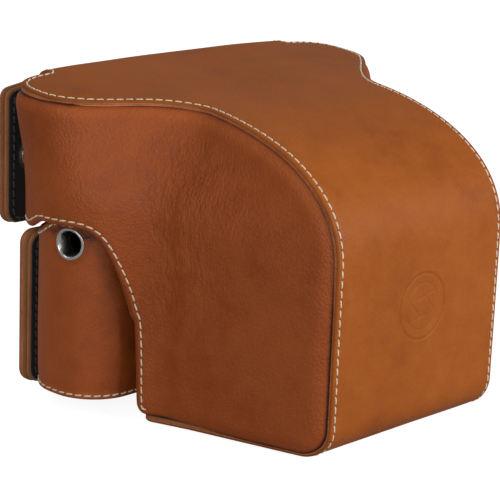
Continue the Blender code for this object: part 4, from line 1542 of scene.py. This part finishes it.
def make_flap(kind, body, outer_y, layers, spots):
    """Padded outer leather, inner leather and suede lining, sewn together and held by two snaps.

    layers is the outer leather's thickness, then the inner leather's and the lining's outer face
    and thickness; spots is the right snap's (x, z)."""
    outer_thick, inner_y, inner_thick, lining_y, lining_thick = layers
    back = kind == "back"
    seed = 61 if back else 71
    outer, outer_sheet = flap_layer(body + "_outer_leather", kind, 0.0, outer_y, outer_thick, LEATHER, None,
                                    seam=HEM, spacing=1.5, edge=min(1.3, outer_thick * 0.45),
                                    back_edge=min(0.9, outer_thick * 0.4),
                                    relief=lambda q, p: 0.14 * uneven(q, 30.0, seed))
    keep_piece(outer, body, "smooth_leather", body + "_leather")
    inner, _ = flap_layer(body + "_inner_leather", kind, 0.3, inner_y, inner_thick, LEATHER, None,
                          spacing=2.5, edge=0.55, back_edge=0.5)
    keep_piece(inner, body, "smooth_leather", body + "_board")
    cloth, cloth_sheet = flap_layer(body + "_cloth", kind, 0.7, lining_y, lining_thick, SUEDE, None,
                                    spacing=2.5, edge=0.3, back_edge=0.35, back_spacing=2.0)
    keep_piece(cloth, body, "suede", body + "_lining")
    keep = (lambda q, p: (q[:, 1] < CURL_Z - 9.0) | (np.abs(q[:, 0]) > END_X + 1)) if back else None
    make_stitches(body + "_stitches", [outer_sheet.seam(keep=keep)], body, pale_thread)
    points, normals, closed = cloth_sheet.seam(1.4)
    make_stitches(body + "_cloth_stitches", [(points - normals * lining_thick, -normals, closed)],
                  body, dark_thread, lift=0.18)
    lining_back = lining_y - lining_thick
    t = np.radians(np.linspace(0, 90, 12))
    dome = [(SNAP_R * 0.97 * math.cos(a), 0.42 + math.sin(a)) for a in t]
    profile = [(0.02, -1.0), (4.2, -1.0), (4.2, -0.05), (SNAP_R, -0.02), (SNAP_R + 0.12, 0.12),
               (SNAP_R + 0.05, 0.32)] + dome[:-1] + [(0.02, 1.42)]
    socket = [(POST_R + 0.8, -0.05), (POST_R + 0.95, -0.55), (POST_R + 1.3, -0.75), (4.6, -0.7),
              (5.2, -0.45), (5.35, 0.1), (3.6, 0.1), (3.6, 3.2), (0.9, 3.3), (0.9, 2.7), (POST_R + 0.8, 2.6)]
    for side, word in SIDES:
        x, z = side * spots[0], spots[1]
        cap = lathe(body + "_cap_" + word, profile, 72, nickel, body, (x, outer_y, z), BACKWARDS)
        ring = lathe(body + "_socket_" + word, socket, 56, nickel, body, (x, lining_back, z), BACKWARDS,
                     closed=True)
        keep_piece(cap, body, "steel", body + "_snap_" + word)


def make_studs():
    """Snap posts that the flaps close on; the cover's stand taller."""
    post = [(0.02, 0.0), (POST_R + 2.2, 0.0), (POST_R + 2.2, 0.3), (POST_R + 1.9, 0.62), (POST_R + 0.4, 0.85),
            (POST_R - 0.15, 1.1), (POST_R - 0.15, 1.6), (POST_R + 0.25, 2.1), (POST_R + 0.28, 2.4),
            (POST_R - 0.1, 2.85), (POST_R - 0.9, 3.05), (0.02, 3.1)]
    tall = [(r, h if h < 1.0 else h + 1.6) for r, h in post]
    for side, word in SIDES:
        for name, profile, body, (x, z), y in (
                ("display", post, "half_case", DISPLAY_SNAP, HALF_D - 0.1),
                ("cover", tall, "front_cover", BACK_SNAP, LOW_RY + 1.1)):
            stud = lathe(name + "_post_" + word, profile, 48, nickel, body, (side * x, y, z), BACKWARDS)
            keep_piece(stud, body, "steel", name + "_stud_" + word)


def make_screw():
    """Knurled knob with a coin slot, threaded shaft, retaining ring and the plate round the hole."""
    def knurl(radius, height, turns):
        grip = smooth((height - 0.55) / 0.35) * smooth((KNOB_TOP - 0.5 - height) / 0.35)
        grip = grip * (radius > KNOB_R - 1.0)
        return radius - 0.32 * grip * (0.5 + 0.5 * np.cos(60 * turns)), height
    slot_half, slot_deep = 0.85, 1.25
    profile = [(0.02, KNOB_TOP), (KNOB_R - 0.6, KNOB_TOP), (KNOB_R - 0.15, KNOB_TOP - 0.2),
               (KNOB_R, KNOB_TOP - 0.5)]
    profile += [(KNOB_R, h) for h in np.linspace(KNOB_TOP - 0.6, 0.6, 9)]
    profile += [(KNOB_R - 0.15, 0.3), (KNOB_R - 0.6, 0.08), (KNOB_R - 1.2, 0.0), (7.2, 0.0), (7.0, 0.25),
                (6.6, 0.3), (6.4, 0.08), (6.0, 0.02)]
    profile += [(r, 0.02) for r in np.arange(5.6, 0.3, -0.35)] + [(0.02, 0.02)]
    knob = lathe("tripod_knob", profile, 360, brass, "tripod_screw", shape=knurl)
    mesh = knob.data
    flat_co = np.zeros(len(mesh.vertices) * 3)
    mesh.vertices.foreach_get("co", flat_co)
    co = flat_co.reshape(-1, 3) / MM
    depth = slot_deep * (1 - smooth((np.abs(co[:, 0]) - slot_half + 0.2) / 0.4))
    depth = depth * smooth((KNOB_R - 1.4 - np.abs(co[:, 1] - BODY_Y)) / 0.6)
    co[:, 2] += np.where(co[:, 2] < 0.35, depth, 0)
    mesh.vertices.foreach_set("co", (co * MM).ravel())
    keep_piece(knob, "tripod_screw", "brass", "screw_knob")

    def thread_shape(radius, height, turns):
        phase = height / THREAD_PITCH - turns / (2 * math.pi)
        wave = np.abs((phase % 1.0) * 2 - 1)
        on = (radius > SHAFT_R - 0.3) * smooth((SHAFT_TOP - 0.4 - height) / 0.8)
        on = on * smooth((height - 6.0) / 0.4)
        return radius - 0.55 * wave * on, height
    rows = [(0.02, 3.0), (SHAFT_R - 0.2, 3.0)] + [(SHAFT_R, h) for h in np.arange(3.3, SHAFT_TOP - 0.6, 0.16)]
    rows += [(SHAFT_R - 0.25, SHAFT_TOP - 0.35), (SHAFT_R - 0.7, SHAFT_TOP), (0.02, SHAFT_TOP)]
    shaft = lathe("tripod_shaft", rows, 64, brass, "tripod_screw", shape=thread_shape)
    keep_piece(shaft, "tripod_screw", "brass", "screw_shaft")
    section = [(0.2, 12.35), (0.35, 12.2), (1.85, 12.2), (2.0, 12.35), (2.0, 12.95), (1.85, 13.1),
               (0.35, 13.1), (0.2, 12.95)]
    ring = lathe("tripod_ring", [(SHAFT_R + r, h) for r, h in section], 64, nickel, "tripod_screw",
                 closed=True)
    keep_piece(ring, "tripod_screw", "steel", "screw_retainer")
    plate = [(HOLE_R + 0.2, 0.0), (HOLE_R + 0.2, -0.7), (HOLE_R + 0.5, -0.9), (11.2, -0.9), (11.7, -0.8),
             (12.0, -0.45), (12.0, 0.0)]
    ring = lathe("tripod_plate", [(r, UNDERSIDE + h) for r, h in plate], 96, brass, "half_case", closed=True)
    keep_piece(ring, "half_case", "brass", "screw_plate")


# ---------------------------------------------------------------- stage

WORLD = 0.25               # the surroundings' light, which only the camera sees as white
FLOOR_GLOW = 0.9           # the floor's own light, which only the camera sees
FLOOR_SIZE, FLOOR_Z = 9000.0, -0.35
LIGHTS_AT = Vector((0, 0, 0.05))
# name, azimuth, elevation, distance, (width, height), watts, seen in gloss
LIGHTS = (
    ("key", 20.0, 23.0, 1.1, (0.7, 0.5), 8.3, True),
    ("left", -54.0, 18.0, 1.2, (0.45, 0.45), 4.2, True),
    ("rim", -106.0, 60.0, 1.1, (0.35, 0.35), 0.9, True),
    ("rear", 175.0, 12.0, 1.4, (0.8, 0.4), 5.0, False),
)

# The photograph's view
VIEW_AZIMUTH, VIEW_ELEVATION, VIEW_ROLL = -46.5, 15.0, 2.2
VIEW_DISTANCE, VIEW_LENS, SENSOR = 0.644, 141.8, 36.0
VIEW_TARGET = (0.00005, 0.01275, 0.0437)


def direction(azimuth, elevation):
    """Towards a viewer or light: azimuth 0 is the front (-Y), and grows towards +X."""
    a, e = math.radians(azimuth), math.radians(elevation)
    return Vector((math.sin(a) * math.cos(e), -math.cos(a) * math.cos(e), math.sin(e)))


def area_light(name, azimuth, elevation, distance, size, power, gloss):
    data = bpy.data.lights.new(name, "AREA")
    data.shape = "RECTANGLE"
    data.size, data.size_y = size
    data.energy = power
    lamp = bpy.data.objects.new(name, data)
    lamp.location = LIGHTS_AT + direction(azimuth, elevation) * distance
    lamp.rotation_euler = (LIGHTS_AT - lamp.location).to_track_quat("-Z", "Y").to_euler()
    lamp.visible_glossy = gloss
    bpy.context.scene.collection.objects.link(lamp)


def make_stage():
    """Plain pale floor, white surroundings and soft lights."""
    corners = [(x * FLOOR_SIZE, y * FLOOR_SIZE, FLOOR_Z) for x, y in ((-1, -1), (1, -1), (1, 1), (-1, 1))]
    floor = make_object("floor", corners, [(0, 1, 2, 3)], [])
    made, tree, shader, place = new_material("white_floor")
    faint = noise_node(tree, place, 3.0, 2.0, 0.5)
    tree.links.new(ramp_node(tree, faint, ((0.3, (0.40, 0.40, 0.40)), (0.7, (0.44, 0.44, 0.44)))),
                   shader.inputs["Base Color"])
    shader.inputs["Roughness"].default_value = 0.9
    shader.inputs["Specular IOR Level"].default_value = 0.1
    shader.inputs["Emission Color"].default_value = (1.0, 1.0, 1.0, 1.0)
    path = tree.nodes.new("ShaderNodeLightPath")
    tree.links.new(math_node(tree, "MULTIPLY", path.outputs["Is Camera Ray"], FLOOR_GLOW),
                   shader.inputs["Emission Strength"])
    floor.data.materials.append(made)
    world = bpy.data.worlds.new("studio")
    bpy.context.scene.world = world
    world.use_nodes = True
    back = world.node_tree.nodes["Background"]
    back.inputs["Color"].default_value = (1.0, 1.0, 1.0, 1.0)
    path = world.node_tree.nodes.new("ShaderNodeLightPath")
    seen = math_node(world.node_tree, "MULTIPLY", path.outputs["Is Camera Ray"], 1.0 - WORLD)
    world.node_tree.links.new(math_node(world.node_tree, "ADD", seen, WORLD), back.inputs["Strength"])
    for light in LIGHTS:
        area_light(*light)
    bpy.context.scene.view_settings.view_transform = "Standard"


def make_camera():
    back = direction(VIEW_AZIMUTH, VIEW_ELEVATION)
    r = math.radians(VIEW_ROLL)
    right = (-back).cross(Vector((0, 0, 1))).normalized()
    up = right.cross(-back)
    across = right * math.cos(r) + up * math.sin(r)
    rise = up * math.cos(r) - right * math.sin(r)
    data = bpy.data.cameras.new("view")
    data.lens = VIEW_LENS
    data.sensor_width = SENSOR
    data.clip_start = 0.01
    camera = bpy.data.objects.new("view", data)
    place = Vector(VIEW_TARGET) + back * VIEW_DISTANCE
    turn = Matrix((across, rise, back)).transposed().to_4x4()
    camera.matrix_world = Matrix.Translation(place) @ turn
    bpy.context.scene.collection.objects.link(camera)
    bpy.context.scene.camera = camera


def dress_hidden_nodes():
    """The stiff board inside the floor stays as the CAD has it."""
    mesh = frame["nodes"]["floor_board"].data
    mesh.materials.clear()
    mesh.materials.append(board)


make_cover()
make_side(1, "right", 11)
make_side(-1, "left", 31)
make_half_case()
hinge_tab("cover_hinge_tab", 36, -20.4, -13.2, 2.0, 1.6, "cover_hinge_strap", seam=1.5)
hinge_tab("display_hinge_tab", 46, 12.0, 15.4, 1.5, 1.4, "display_hinge_strap", seam=1.2)
make_flap("back", "back_flap", BACK_Y, (2.0, 29.3, 1.8, 27.3, 0.9), BACK_SNAP)
make_flap("display", "display_flap", DISPLAY_Y, (3.6, 21.15, 1.6, 19.4, 0.9), DISPLAY_SNAP)
make_studs()
make_screw()
dress_hidden_nodes()
make_stage()
make_camera()
